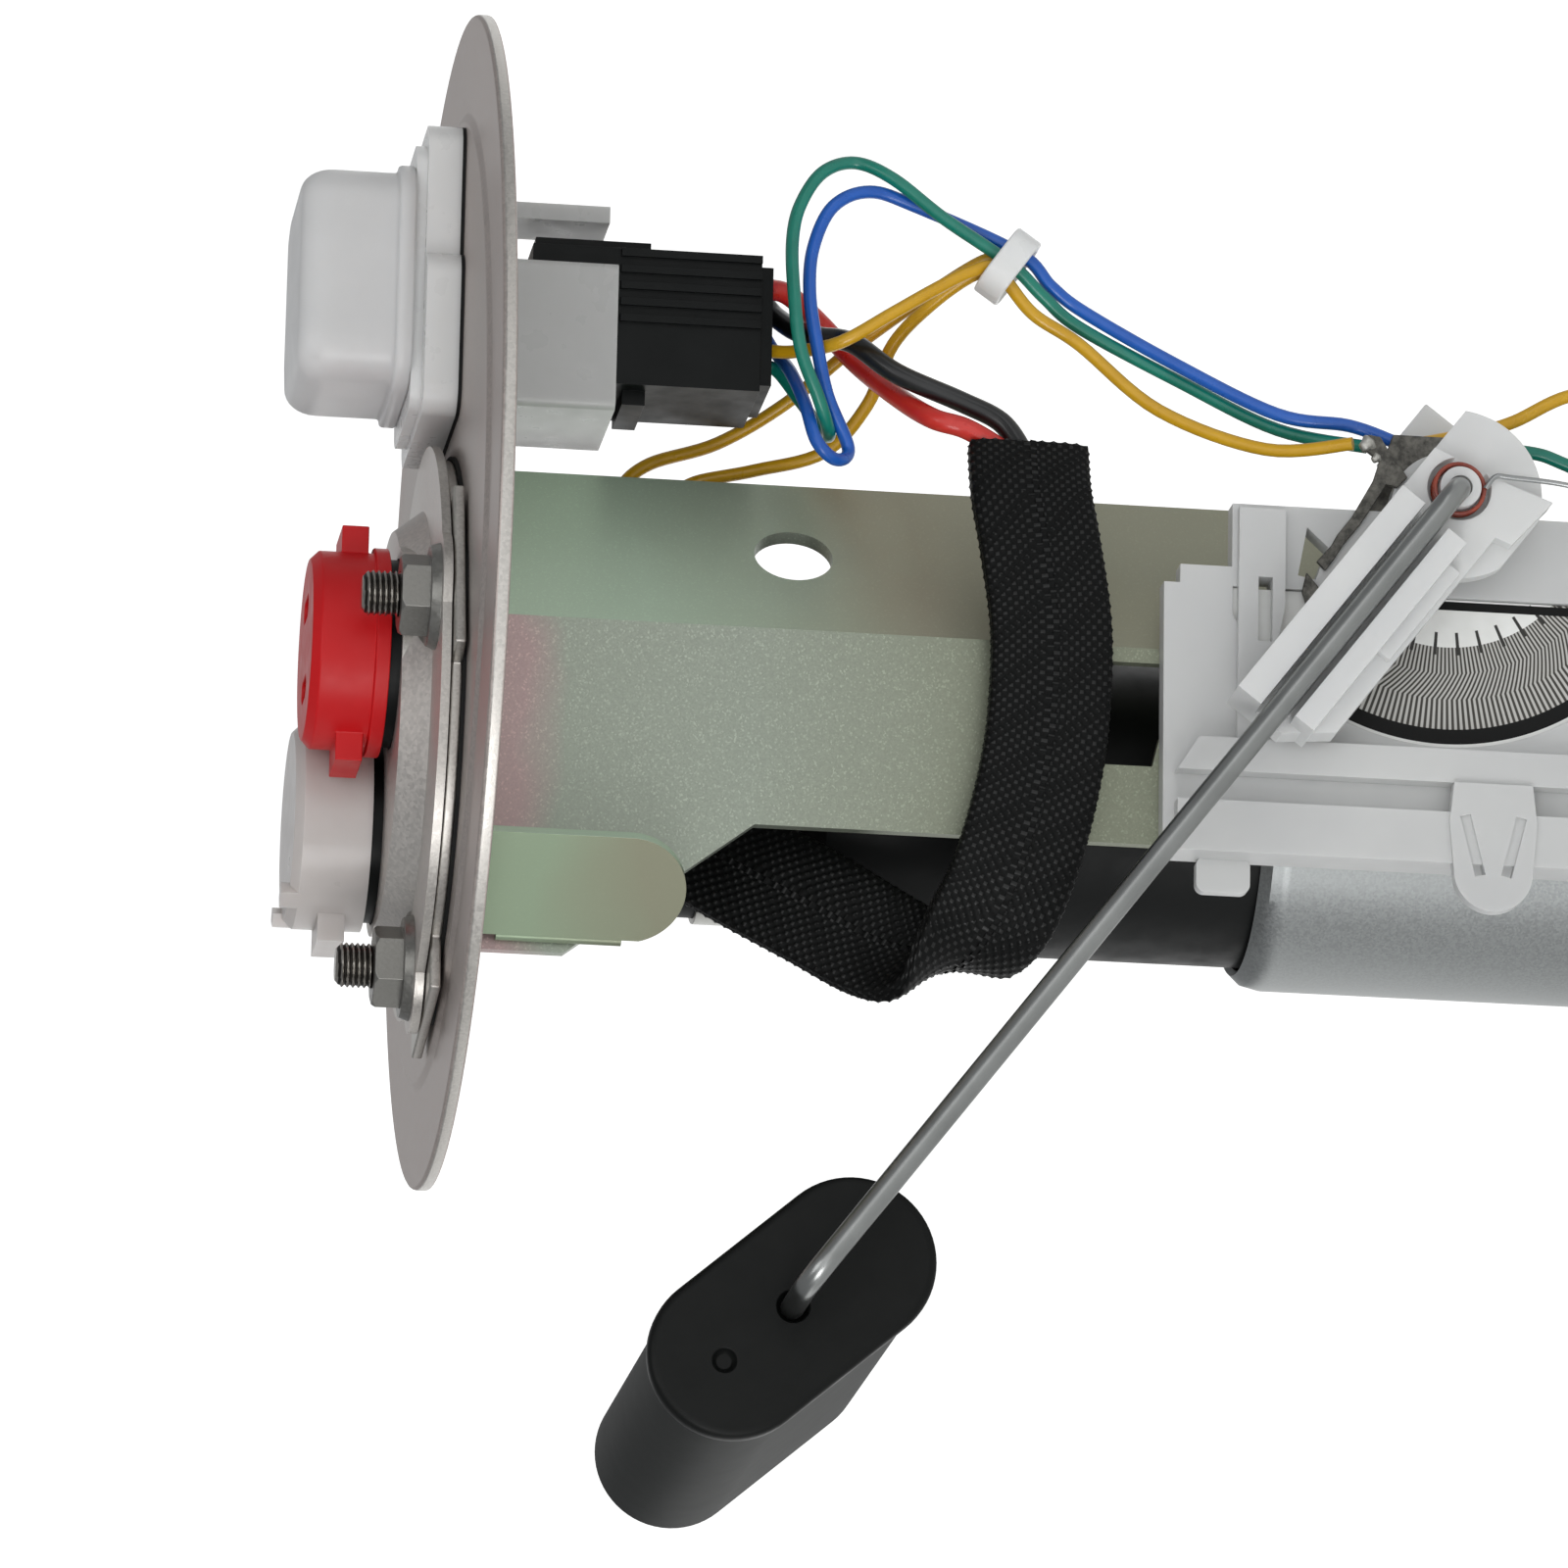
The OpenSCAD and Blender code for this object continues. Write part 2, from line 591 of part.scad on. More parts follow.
module bracket() {
    color("#b5bda8") {
        difference() {
            translate([0, 0, -bracket_len]) linear_extrude(bracket_len + field_rise) bracket_section();
            // the front face narrows below its root
            front_plate(-front_y + over + sheet_t, sheet_t + 2 * over) polygon([
                [bend_x - root_w - over, -10.8], [bend_x - root_w, -10.8], [front_low, -31.5],
                [front_low, -bracket_len - over], [bend_x - root_w - over, -bracket_len - over]]);
            front_plate(-front_y + over + sheet_t, sheet_t + 2 * over) polygon([
                [window_x[1], window_z[0]], [window_x[0], window_z[0]], [window_x[0], window_z[1]],
                [window_x[0] - 7.4, window_z[1]], [window_x[1] + 3.4, window_z[1] + 1],
                [window_x[1], window_z[1] + 1.8]]);
            lean_frame() translate([hole_s, -hole_z, -over - sheet_t]) cylinder(r = bracket_hole_r, h = sheet_t * 3 + over);
            // relief notch at the bend, next to the flange
            translate([bend_x - 0.6, -front_y - over, -0.5]) cube([3, 5, 3]);
        }
        // concave flare at the corner of the leaning face, next to the flange
        lean_frame() linear_extrude(sheet_t) difference() {
            translate([lean_w - 0.4, -field_rise]) square([flare_r - 0.4, flare_r + field_rise]);
            translate([lean_w + flare_r, flare_r]) circle(flare_r);
        }
        // shelf under the pump
        difference() {
            translate([front_low, -front_y, -bracket_len - sheet_t]) cube([front_w, shelf_depth, sheet_t]);
            at_pump(-bracket_len - sheet_t - over) translate([6, 0, 0]) cylinder(r = inlet_r + 3.2, h = 5);
        }
    }
}

// Folded lug on the root of the bracket
module locating_lug() {
    lug_t = 1.4;
    lug_w = 13;
    color("#9fae8c") translate([bend_x - root_w + 1.6, -front_y, -12.6]) {
        translate([0, -lug_t, -4.4]) cube([9, lug_t, 13.8]);
        difference() {
            translate([0, -lug_t / 2, 0]) rotate([0, 0, -42]) translate([0, -lug_t / 2, 0])
                rotate([-90, 0, 0]) linear_extrude(lug_t) {
                    translate([0, -11.2]) square([lug_w, 15.6]);
                    translate([lug_w / 2, 4.4]) circle(lug_w / 2);
                }
            translate([-20, -lug_t, -20]) cube([40, 20, 40]);
        }
        translate([0, -lug_t / 2, -4.4]) cylinder(r = lug_t / 2, h = 13.8);
    }
}

// Pump outlet

module outlet_housing() {
    color("#1b1d1e") difference() {
        union() {
            at_pump(-can_top - 1) cylinder(r = outlet_r, h = outlet_h - 2);
            at_pump(-outlet_top - 3) cylinder(r1 = outlet_r, r2 = outlet_r - 3, h = 3);
            at_pump(-can_top - 6) cylinder(r = can_r - can_wall - 0.05, h = 5.6);
            translate([supply_x, supply_y, -outlet_top - 1]) cylinder(r = spigot_out_r + 0.8, h = 13);
            translate([supply_x, supply_y, -outlet_top + 9]) cylinder(r1 = spigot_out_r + 1.2, r2 = spigot_out_r, h = 3);
            translate([plug2_x, plug2_y, -outlet_top - 1]) linear_extrude(9) square([11, 8.4], center = true);
        }
        at_pump(-can_top - 7) cylinder(r = outlet_r - 2.4, h = outlet_h + 2);
        translate([supply_x, supply_y, -outlet_top - 8]) cylinder(r = 1.6, h = 24);
        translate([supply_x, supply_y, -outlet_top - 1]) cylinder(r = 2.6, h = 11);
        translate([plug2_x, plug2_y, -outlet_top + 1]) linear_extrude(9) square([9, 6.4], center = true);
    }
    color("#1b1d1e") bearing_wall();
}

// Upper bearing of the pump shaft
module bearing_wall() {
    at_pump(-can_top + 6) difference() {
        cylinder(r = outlet_r - 2.3, h = 3);
        translate([0, 0, -over]) cylinder(r = shaft_r + fit, h = 5);
        for (a = [45:90:315]) rotate([0, 0, a]) translate([9, 0, -over]) cylinder(r = 3, h = 5);
    }
}

module check_valve_poppet() {
    color("#c9a35a") translate([supply_x, supply_y, -outlet_top - 1]) {
        cylinder(r = 2.2, h = 3);
        translate([0, 0, 3]) cylinder(r1 = 2.2, r2 = 0.8, h = 1.6);
        translate([0, 0, 3]) cylinder(r = 0.8, h = 4);
    }
}

module check_valve_spring() {
    color("silver") translate([supply_x, supply_y, -outlet_top + 2.4]) for (i = [0:4])
        translate([0, 0, 1.9 + i * 1.34]) rotate_extrude() translate([2, 0]) circle(0.3, $fn = 16);
}

module pump_plug() {
    color("#1d1d1d") translate([plug2_x, plug2_y, -outlet_top + 1]) {
        linear_extrude(11) square([8.8, 6.2], center = true);
        translate([0, 0, 8]) linear_extrude(4) square([9.8, 7.2], center = true);
    }
}

module supply_hose() {
    color("#1c1c1c") translate([supply_x, supply_y, -outlet_top + 1]) difference() {
        cylinder(r = 8, h = outlet_top - 8);
        translate([0, 0, -over]) cylinder(r = spigot_out_r + 1.25, h = 13);
        translate([0, 0, 11]) cylinder(r = spigot_out_r, h = 4);
        translate([0, 0, outlet_top - 19.5]) cylinder(r = supply_tube_r + 0.55, h = 20);
    }
}

module hose_clips() {
    color("silver") for (z = [-outlet_top + 5, -14]) translate([supply_x, supply_y, z]) difference() {
        union() {
            tube(8.7, 8, 5);
            translate([-2.6, 8.2, 0]) cube([5.2, 4, 5]);
        }
        translate([-0.8, 0, -over]) cube([1.6, 14, 5 + 2 * over]);
    }
}

// Pump motor

module pump_can() {
    color("#c6c9ca") at_pump(-can_bottom) rotate_extrude($fn = 96) polygon([
        [can_r - can_wall, 1.2], [can_r - can_wall, can_len - 0.2],
        [can_r - 2.2, can_len + 0.5], [can_r - 1.6, can_len + 1.1],
        [can_r - 0.5, can_len - 0.1], [can_r, can_len - 2.2],
        [can_r, 2.4], [can_r - 0.5, 0.6], [can_r - 1.6, 0], [can_r - 4, 0], [can_r - 4, 1.2]]);
}

module pump_magnets() {
    color("#4a4d50") at_pump(-rotor_z - rotor_h / 2 - magnet_h / 2) difference() {
        tube(can_r - can_wall, rotor_r + 0.7, magnet_h);
        for (s = [-1, 1]) translate([-2.4, s > 0 ? 0 : -30, -over]) cube([4.8, 30, magnet_h + 2 * over]);
    }
}

module pump_rotor() {
    color("#8f8478") at_pump(0) {
        translate([0, 0, -can_bottom + 3]) cylinder(r = shaft_r, h = can_bottom - 3 - shaft_top);
        difference() {
            translate([0, 0, -rotor_z - rotor_h]) cylinder(r = rotor_r, h = rotor_h);
            for (i = [0:7]) rotate([0, 0, i * 45]) translate([rotor_r - 3.6, -1, -rotor_z - rotor_h - over])
                cube([6, 2, rotor_h + 2 * over]);
        }
        translate([0, 0, -rotor_z]) cylinder(r = 8.6, h = 4);
        translate([0, 0, -rotor_z - rotor_h - 4]) cylinder(r = 8.6, h = 4);
        translate([0, 0, -rotor_z + 6]) difference() {
            cylinder(r = 5.5, h = 10);
            for (i = [0:7]) rotate([0, 0, i * 45 + 22.5]) translate([4.4, -0.3, -over]) cube([3, 0.6, 12]);
        }
        translate([0, 0, -rotor_z + 3]) cylinder(r = 3.4, h = 4);
    }
}

module pump_brushes() {
    color("#2b2b2b") at_pump(-rotor_z + 8) for (a = [0, 180]) rotate([0, 0, a])
        translate([5.8, -2.4, 0]) cube([5, 4.8, 5]);
}

module brush_springs() {
    color("silver") at_pump(-rotor_z + 10.5) for (a = [0, 180], i = [0:2]) rotate([0, 0, a])
        translate([11.2 + i * 1.1, 0, 0]) rotate([0, 90, 0]) rotate_extrude() translate([1.5, 0]) circle(0.25, $fn = 16);
}

module impeller() {
    color("#3a352c") at_pump(-can_bottom + inlet_cover_t + 1.6) difference() {
        cylinder(r = 15.5, h = 3.4);
        translate([0, 0, -over]) cylinder(r = shaft_r, h = 6);
        for (i = [0:23]) rotate([0, 0, i * 15]) translate([13, -0.7, -over]) cube([4, 1.4, 6]);
    }
}

module inlet_cover() {
    color("#aeb2b3") at_pump(-can_bottom + 1.3) difference() {
        union() {
            cylinder(r = can_r - can_wall - 0.05, h = inlet_cover_t - 0.1);
            translate([6, 0, -8]) cylinder(r = inlet_r - 1, h = 9);
        }
        translate([6, 0, -over - 8]) cylinder(r = 3, h = 20);
        translate([0, 0, 1.2]) cylinder(r = shaft_r + fit, h = 10);
        translate([0, 0, inlet_cover_t - 1]) tube(15, 12, 5);
    }
}

// Holding the pump

module pump_isolator() {
    color("#262626") at_pump(-bracket_len + 0.01) difference() {
        cylinder(r = can_r - 3, h = bracket_len - can_bottom - 0.02);
        translate([6, 0, -over]) cylinder(r = inlet_r + 0.8, h = 20);
    }
}

module pump_saddle() {
    color("#262626") at_pump(-can_bottom + 4.4) difference() {
        tube(can_r + 1.2, can_r, 10.2);
        translate([-0.6, 0, -over]) cube([1.2, 30, 20]);
    }
}

module pump_clamp() {
    color("#c9cbcc") difference() {
        union() {
            at_pump(-can_bottom + 5) cylinder(r = can_r + 2, h = 9);
            translate([pump_x - 7.4, front_in, -can_bottom + 5]) cube([14.8, 8, 9]);
            translate([pump_x - 4.6, pump_y + can_r, -can_bottom + 5]) cube([9.2, 9, 9]);
        }
        at_pump(-can_bottom + 4) cylinder(r = can_r + 1.2, h = 12);
        translate([pump_x - 6, front_in - over, -can_bottom + 4]) cube([12, 8, 12]);
        translate([pump_x - 3.2, pump_y + can_r - over, -can_bottom + 4]) cube([6.4, 12, 12]);
    }
    color("#c9cbcc") translate([pump_x - 6.4, pump_y + can_r + 6.4, -can_bottom + 9.5]) rotate([0, 90, 0])
        cylinder(r = 1.5, h = 12.8);
}

module strainer_frame() {
    color("#2a2a2a") at_pump(0) translate([6, 0, 0]) {
        translate([0, 0, -can_bottom - 8.5]) tube(inlet_r + 0.6, inlet_r - 1, 6);
        translate([0, 0, -can_bottom - 13]) tube(inlet_r + 2.6, inlet_r - 2, 4.6);
    }
}

module strainer_sock() {
    color("#d9d4c2") at_pump(0) translate([2, 0, -can_bottom - 21]) hull() {
        for (sx = [-22, 22], sy = [-11, 11]) translate([sx, sy, 4]) scale([1, 1, 1]) sphere(4, $fn = 24);
    }
}

// Level sender

module base_outline() {
    polygon([[-31.6, -76.4], [-0.5, -76.2], [-0.5, -78], [1.6, -78], [1.6, -83.8], [8.9, -83.8],
        [8.9, -134], [1.6, -134],
        [1.6, -141], [-31.6, -141]]);
}

// Window over the resistor card: its lower side is an arc about the pivot
module card_window() {
    difference() {
        intersection() {
            translate([pivot_x, -pivot_z]) circle(27.6, $fn = 96);
            translate([-20, -pivot_z - 24]) square([19.4, 48]);
        }
    }
}

module sender_base() {
    color("#e9ebeb") difference() {
        union() {
            front_plate(base_back, base_t) difference() {
                base_outline();
                card_window();
            }
            // raised frame left of the card
            front_plate(base_front + 0.01, 1.2) polygon([[-19, -84.4], [8.2, -84.4], [8.2, -89.6], [-3, -89.6], [-19, -86.6]]);
            // rails along the lower edge
            front_plate(base_front + 0.01, 2.4) polygon([[-22.4, -77.6], [-18.6, -80], [-18.6, -140], [-22.4, -140]]);
            front_plate(base_front + 0.01, 2.6) polygon([[-31.6, -77.6], [-25.8, -77.6], [-25.8, -140], [-31.6, -140]]);
            // small tab and split arrow clip under the lower edge
            front_plate(base_back, 1.6) translate([-33.3, -83.4]) round_rect(4, 6, 1);
            front_plate(base_front - 1.4, 1.6) difference() {
                union() {
                    translate([-32.6, -112.8]) circle(4.4);
                    polygon([[-22.5, -108.4], [-27, -107.9], [-32.6, -108.4], [-32.6, -117.2], [-27, -117.7], [-22.5, -117.2]]);
                }
                for (s = [-1, 1]) translate([-29.6, -112.8 + s * 2.3]) rotate(s * 14) square([7, 1.2], center = true);
            }
            // pivot boss
            translate([pivot_x, base_back, -pivot_z]) rotate([90, 0, 0]) cylinder(r = 6.2, h = base_t);
            translate([pivot_x, base_back + 4.8, -pivot_z]) rotate([90, 0, 0]) cylinder(r = 3.6, h = 11.2);
        }
        translate([pivot_x, base_back + 6, -pivot_z]) rotate([90, 0, 0]) cylinder(r = wire_r + fit, h = 14);
        front_plate(base_back + over, base_t + 4) translate([-3.4, -87.4]) square([7.4, 1.6], center = true);
        front_plate(base_back + over, base_t + 4) polygon([[6.6, -92.2], [4.4, -94.6], [0.6, -93.2], [1, -91.2]]);
    }
}

module resistor_card() {
    color("#d8d8d2") front_plate(card_front + card_t, card_t) intersection() {
        translate([pivot_x, -pivot_z]) circle(27.5, $fn = 96);
        translate([-20, -pivot_z - 23.9]) square([19.3, 47.8]);
    }
}

module sender_terminals() {
    color("#b9bab6") {
        front_plate(base_front, 0.5) polygon([[18, -96.4], [18.8, -99.4], [15.6, -103], [12.4, -100.8],
            [5.6, -96.4], [-3.4, -92.6], [-4.6, -94.4], [-3.8, -90.6], [6.4, -93.6], [13.6, -97.6]]);
        front_plate(base_back + 0.6, 0.6) polygon([[18.8, -102.4], [18.8, -108.8], [8, -101.8], [2, -101.8],
            [2, -98.4], [8, -98.4]]);
    }
}

module arm_carrier() {
    color("#eceeee") arm_frame() difference() {
        union() {
            translate([0, 0, carrier_back]) linear_extrude(2) intersection() {
                circle(9.7);
                translate([-10, -5]) square([20, 14]);
            }
            translate([0, 0, carrier_back]) linear_extrude(carrier_t - 1.6)
                polygon([[-2, -5], [35, -5], [35, 1.9], [31, 6.5], [1.8, 6.5], [1.3, 8.4], [-5.6, 9], [-4, 3.8]]);
            translate([5, -5, carrier_back]) cube([30, 3.2, carrier_t + 2]);
            translate([5.6, 1.9, carrier_back]) cube([28, 2.6, carrier_t + 2]);
            translate([8, 4.4, carrier_back]) cube([13, 1.6, carrier_t - 0.4]);
            translate([0, 0, carrier_back]) cylinder(r = 2.3, h = 5);
        }
        translate([0, 0, carrier_back - over]) cylinder(r = wire_r, h = 20);
        translate([0, 0, carrier_back + 2]) tube(3.6, 2.3, 20);
        translate([0, -wire_r, -arm_y]) cube([60, 2 * wire_r, 10]);
        translate([0, 0, -arm_y]) rotate([0, 90, 0]) cylinder(r = wire_r, h = 60);
    }
}

module arm_retainer() {
    color("#e2e4e4") arm_frame() translate([0, 0, 15.8]) linear_extrude(3) difference() {
        union() {
            circle(4.6);
            translate([-11, -9.4]) square([8.6, 12.6]);
            translate([-4, -5]) square([4, 8]);
        }
        circle(wire_r);
    }
}

module wiper() {
    color("#c98c52") arm_frame() translate([0, 0, -card_front + 0.02]) {
        for (y = [-1.8, 0.8]) {
            translate([18, y, 1.4]) cube([8, 1, 0.4]);
            translate([24.6, y, 0]) cube([1, 1, 1.6]);
        }
        translate([17, -2.2, 1.4]) cube([3, 4.6, carrier_back + card_front - 0.02 - 1.4]);
    }
}

module pivot_spring() {
    color("#a8452c") {
        translate([pivot_x, 0, -pivot_z]) rotate([90, 0, 0]) for (i = [0:2])
            translate([0, 0, carrier_back + 2.45 + i * 0.9]) rotate_extrude() translate([2.8, 0]) circle(0.42, $fn = 16);
        wire([[pivot_x, -carrier_back - 4.6, -pivot_z - 2.8], [11.2, -35.3, -111.8], [11.2, -35.3, -113.6],
            [10.6, -35.3, -120.4], [8.6, -35.3, -126.4]], 0.35, 4);
    }
}

module float_arm() {
    color("#9b9d9f") arm_frame() {
        z1 = -arm_y;
        translate([0, 0, 14.6]) cylinder(r = wire_r, h = z1 - bend_r - 14.6);
        translate([bend_r, 0, z1 - bend_r]) rotate([90, 0, 0]) rotate([0, 0, 90])
            rotate_extrude(angle = 90) translate([bend_r, 0]) circle(wire_r);
        translate([bend_r, 0, z1]) rotate([0, 90, 0]) cylinder(r = wire_r, h = arm_len - 2 * bend_r);
        translate([arm_len - bend_r, 0, z1 - bend_r]) rotate([90, 0, 0])
            rotate_extrude(angle = 90) translate([bend_r, 0]) circle(wire_r);
        translate([arm_len, 0, -float_y0 - float_depth - 2.4])
            cylinder(r = wire_r, h = z1 - bend_r + float_y0 + float_depth + 2.4);
    }
}

module float() {
    color("#26282a") difference() {
        union() {
            arm_frame() translate([arm_len, 0, -float_y0 - float_depth]) rotate([0, 0, -float_turn])
                linear_extrude(float_depth - 2.2) stadium(float_len - 1.4, float_t - 1.4);
            arm_frame() translate([arm_len, 0, -float_y0 - 2.3]) rotate([0, 0, -float_turn])
                linear_extrude(2.3) stadium(float_len, float_t);
        }
        arm_frame() translate([arm_len, 0, -float_y0 - float_depth - over])
            cylinder(r = wire_r + fit, h = float_depth + 2 * over);
        arm_frame() translate([arm_len, 0, -float_y0 - 1.2]) cylinder(r = wire_r + 0.6, h = 3);
        arm_frame() translate([arm_len, 0, -float_y0 - 0.8]) rotate([0, 0, -float_turn]) translate([9.7, 0, 0])
            cylinder(r = 1.4, h = 3);
    }
}

module float_clip() {
    color("#b4b6b8") arm_frame() translate([arm_len, 0, -float_y0 - float_depth - 1.2]) tube(3.6, wire_r, 0.8);
}

module ground_tab() {
    color("#b9bab6") lean_frame() translate([13, 15, sheet_t]) cube([5, 14, 3]);
}

module level_thermistor() {
    color("#b9bcbd") lean_frame() translate([15, bracket_len - 22, 0]) difference() {
        union() {
            translate([-4, -6, -1.2]) cube([8, 12, 1.2]);
            translate([0, 0, -9]) cylinder(r = 3.2, h = 8);
        }
        for (s = [-1, 1]) translate([s * 1.3, s * 0.8, -10]) cylinder(r = signal_lead_r + 0.25, h = 2);
    }
}

module harness_clip() {
    color("#eef0f0") translate([37.4, -18.8, -59.3]) rotate([0, 35, 0]) difference() {
        linear_extrude(3.2, center = true) round_rect(8.4, 6.8, 2.8);
        linear_extrude(9, center = true) round_rect(7.2, 5.6, 2.2);
    }
}

// Leads

function unit(v) = v / norm(v);
// Smooth curve through the points a, b, c and d, between b and c
function curve(a, b, c, d, t) = 0.5 * (2 * b + (c - a) * t + (2 * a - 5 * b + 4 * c - d) * t * t
    + (3 * b - a - 3 * c + d) * t * t * t);
function smooth(p, n) = let (m = len(p) - 1) [for (i = [0:m - 1], k = [0:n - 1])
    curve(p[max(i - 1, 0)], p[i], p[i + 1], p[min(i + 2, m)], k / n), p[m]];
function tangent(p, i) = unit(p[min(i + 1, len(p) - 1)] - p[max(i - 1, 0)]);
function across(n, t) = unit(n - t * (n * t));
// Normals carried along the path without twist
function normals(p) = [for (i = 0, n = across([0.36, 0.48, 0.8], tangent(p, 0)); i < len(p);
    i = i + 1, n = i < len(p) ? across(n, tangent(p, i)) : n) n];
// Side faces between rings of k points
function sides(rings, k, first) = [for (i = [0:rings - 2], j = [0:k - 1]) let (a = first + i * k,
    b = (j + 1) % k) each [[a + j, a + k + j, a + k + b], [a + j, a + k + b, a + b]]];

// Round wire swept along a smooth curve through the points
module wire(points, r, n) {
    p = smooth(points, n);
    m = normals(p);
    k = 8;
    ring = [for (i = [0:len(p) - 1], j = [0:k - 1]) let (t = tangent(p, i), a = 360 * j / k)
        p[i] + r * (cos(a) * m[i] + sin(a) * cross(t, m[i]))];
    last = (len(p) - 1) * k;
    polyhedron(ring, concat(sides(len(p), k, 0), [[for (j = [0:k - 1]) j]],
        [[for (j = [k - 1:-1:0]) last + j]]), convexity = 8);
}

function along(o) = [for (i = [0:len(SLEEVE) - 1]) SLEEVE[i] + o * across(SLEEVE_W[i], tangent(SLEEVE, i))];

module pump_lead_sleeve() {
    wall = 0.3;
    p = smooth(SLEEVE, 3);
    w = smooth(SLEEVE_W, 3);
    hx = sleeve_w / 2;
    hy = sleeve_t / 2;
    section = [[-hx, -hy + 0.8], [-hx + 0.8, -hy], [-2, -hy], [2, -hy], [hx - 0.8, -hy], [hx, -hy + 0.8],
        [hx, hy - 0.8], [hx - 0.8, hy], [2, hy], [-2, hy], [-hx + 0.8, hy], [-hx, hy - 0.8]];
    k = len(section);
    n = len(p);
    ring = [for (s = [1, 0], i = [0:n - 1], j = [0:k - 1]) let (t = tangent(p, i), a = across(w[i], t),
        b = cross(t, a), q = section[j], e = s == 1 ? 0 : wall)
        p[i] + a * (q[0] - e * sign(q[0])) + b * (q[1] - e * sign(q[1]))];
    inner = sides(n, k, n * k);
    color("#1a1a1a") polyhedron(ring, concat(sides(n, k, 0), [for (f = inner) [f[2], f[1], f[0]]],
        [for (j = [0:k - 1]) let (b = (j + 1) % k) each [[j, b, n * k + b], [j, n * k + b, n * k + j]]],
        [for (j = [0:k - 1]) let (b = (j + 1) % k, a = (n - 1) * k, c = (2 * n - 1) * k)
            each [[a + b, a + j, c + j], [a + b, c + j, c + b]]]), convexity = 8);
}

module red_lead() {
    color("#c1272d") wire(concat(RED_IN, along(-4.4), RED_OUT), pump_lead_r, 2);
}

module black_lead() {
    color("#161616") wire(concat(BLACK_IN, along(-1.4), BLACK_OUT), pump_lead_r, 2);
}

module green_lead() {
    color("#0f6b5b") wire(GREEN, signal_lead_r, 3);
}

module blue_lead() {
    color("#1c4f9e") wire(BLUE, signal_lead_r, 3);
}

module yellow_lead() {
    color("#c99a12") wire(YELLOW, signal_lead_r, 3);
}

module ground_leads() {
    color("#b58a12") {
        wire(GROUND_A, signal_lead_r, 3);
        wire(GROUND_B, signal_lead_r, 3);
    }
}

module thermistor_leads() {
    color("#c99a12") {
        wire(THERMISTOR_A, signal_lead_r, 3);
        wire(THERMISTOR_B, signal_lead_r, 3);
    }
}

flange_plate();
port_gasket();
stud_plate();
cover_studs();
port_body();
port_cover();
cover_nuts();
supply_tube();
return_tube();
supply_cap();
return_cap();
connector_body();
connector_seal();
connector_pins();
connector_dust_cap();
harness_plug();
bracket();
locating_lug();
supply_hose();
hose_clips();
outlet_housing();
pump_plug();
check_valve_poppet();
check_valve_spring();
pump_can();
pump_magnets();
pump_rotor();
pump_brushes();
brush_springs();
impeller();
inlet_cover();
pump_isolator();
pump_saddle();
pump_clamp();
strainer_frame();
strainer_sock();
sender_base();
resistor_card();
sender_terminals();
arm_carrier();
wiper();
pivot_spring();
float_arm();
float();
float_clip();
level_thermistor();
harness_clip();
pump_lead_sleeve();
red_lead();
black_lead();
green_lead();
blue_lead();
yellow_lead();
ground_leads();
thermistor_leads();
arm_retainer();
ground_tab();
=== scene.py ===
import json
import math
from functools import partial

import bmesh
import bpy
from mathutils import Matrix, Vector


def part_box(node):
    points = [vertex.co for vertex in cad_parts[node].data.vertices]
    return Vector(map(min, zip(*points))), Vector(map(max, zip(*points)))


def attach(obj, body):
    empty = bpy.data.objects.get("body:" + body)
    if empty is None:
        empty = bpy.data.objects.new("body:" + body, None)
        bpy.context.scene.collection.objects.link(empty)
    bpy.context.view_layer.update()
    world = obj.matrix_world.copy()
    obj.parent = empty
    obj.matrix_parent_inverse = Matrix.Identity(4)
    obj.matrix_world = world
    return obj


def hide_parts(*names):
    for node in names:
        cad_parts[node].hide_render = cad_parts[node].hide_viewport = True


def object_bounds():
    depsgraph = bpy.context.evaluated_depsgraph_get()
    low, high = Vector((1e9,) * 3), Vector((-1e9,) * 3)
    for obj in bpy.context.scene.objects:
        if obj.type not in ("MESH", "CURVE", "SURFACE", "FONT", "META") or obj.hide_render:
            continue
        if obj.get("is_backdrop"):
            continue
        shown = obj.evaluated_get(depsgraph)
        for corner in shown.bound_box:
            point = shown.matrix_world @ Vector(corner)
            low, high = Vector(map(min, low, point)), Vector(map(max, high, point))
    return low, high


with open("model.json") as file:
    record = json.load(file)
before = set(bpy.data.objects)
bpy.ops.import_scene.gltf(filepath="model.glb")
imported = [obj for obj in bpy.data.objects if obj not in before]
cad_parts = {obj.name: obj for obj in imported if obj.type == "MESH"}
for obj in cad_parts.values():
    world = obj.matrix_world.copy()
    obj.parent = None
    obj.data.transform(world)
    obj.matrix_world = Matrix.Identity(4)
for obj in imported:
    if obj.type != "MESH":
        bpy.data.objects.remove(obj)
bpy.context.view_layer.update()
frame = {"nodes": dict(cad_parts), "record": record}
nodes = frame["nodes"]
bodyOf = {name: body for body, names in frame["record"]["behaviour"]["bodies"].items() for name in names}
scene = bpy.context.scene
mm = 0.001
print("frame loaded:", len(nodes), "nodes")

# Camera: the view of the photograph, a long lens 1.2 m away

cameraValues = {
    "distance": 1200.0,   # mm from the lens to the flange
    "heading": 14.6,      # degrees the view line turns towards +X
    "tilt": 6.8,          # degrees it looks down on the flange side
    "roll": 3.0,          # degrees the hanger runs downhill in the picture
    "scale": 9.09,        # picture points per mm at the flange
    "anchor": (0.0, 0.0, 1.6),     # mm, the flange's centre
    "anchorAt": (450, 615),        # picture points from the left and the top where it is seen
    "picture": 1600,      # picture points across the frame
    "sensor": 36.0,       # mm
}


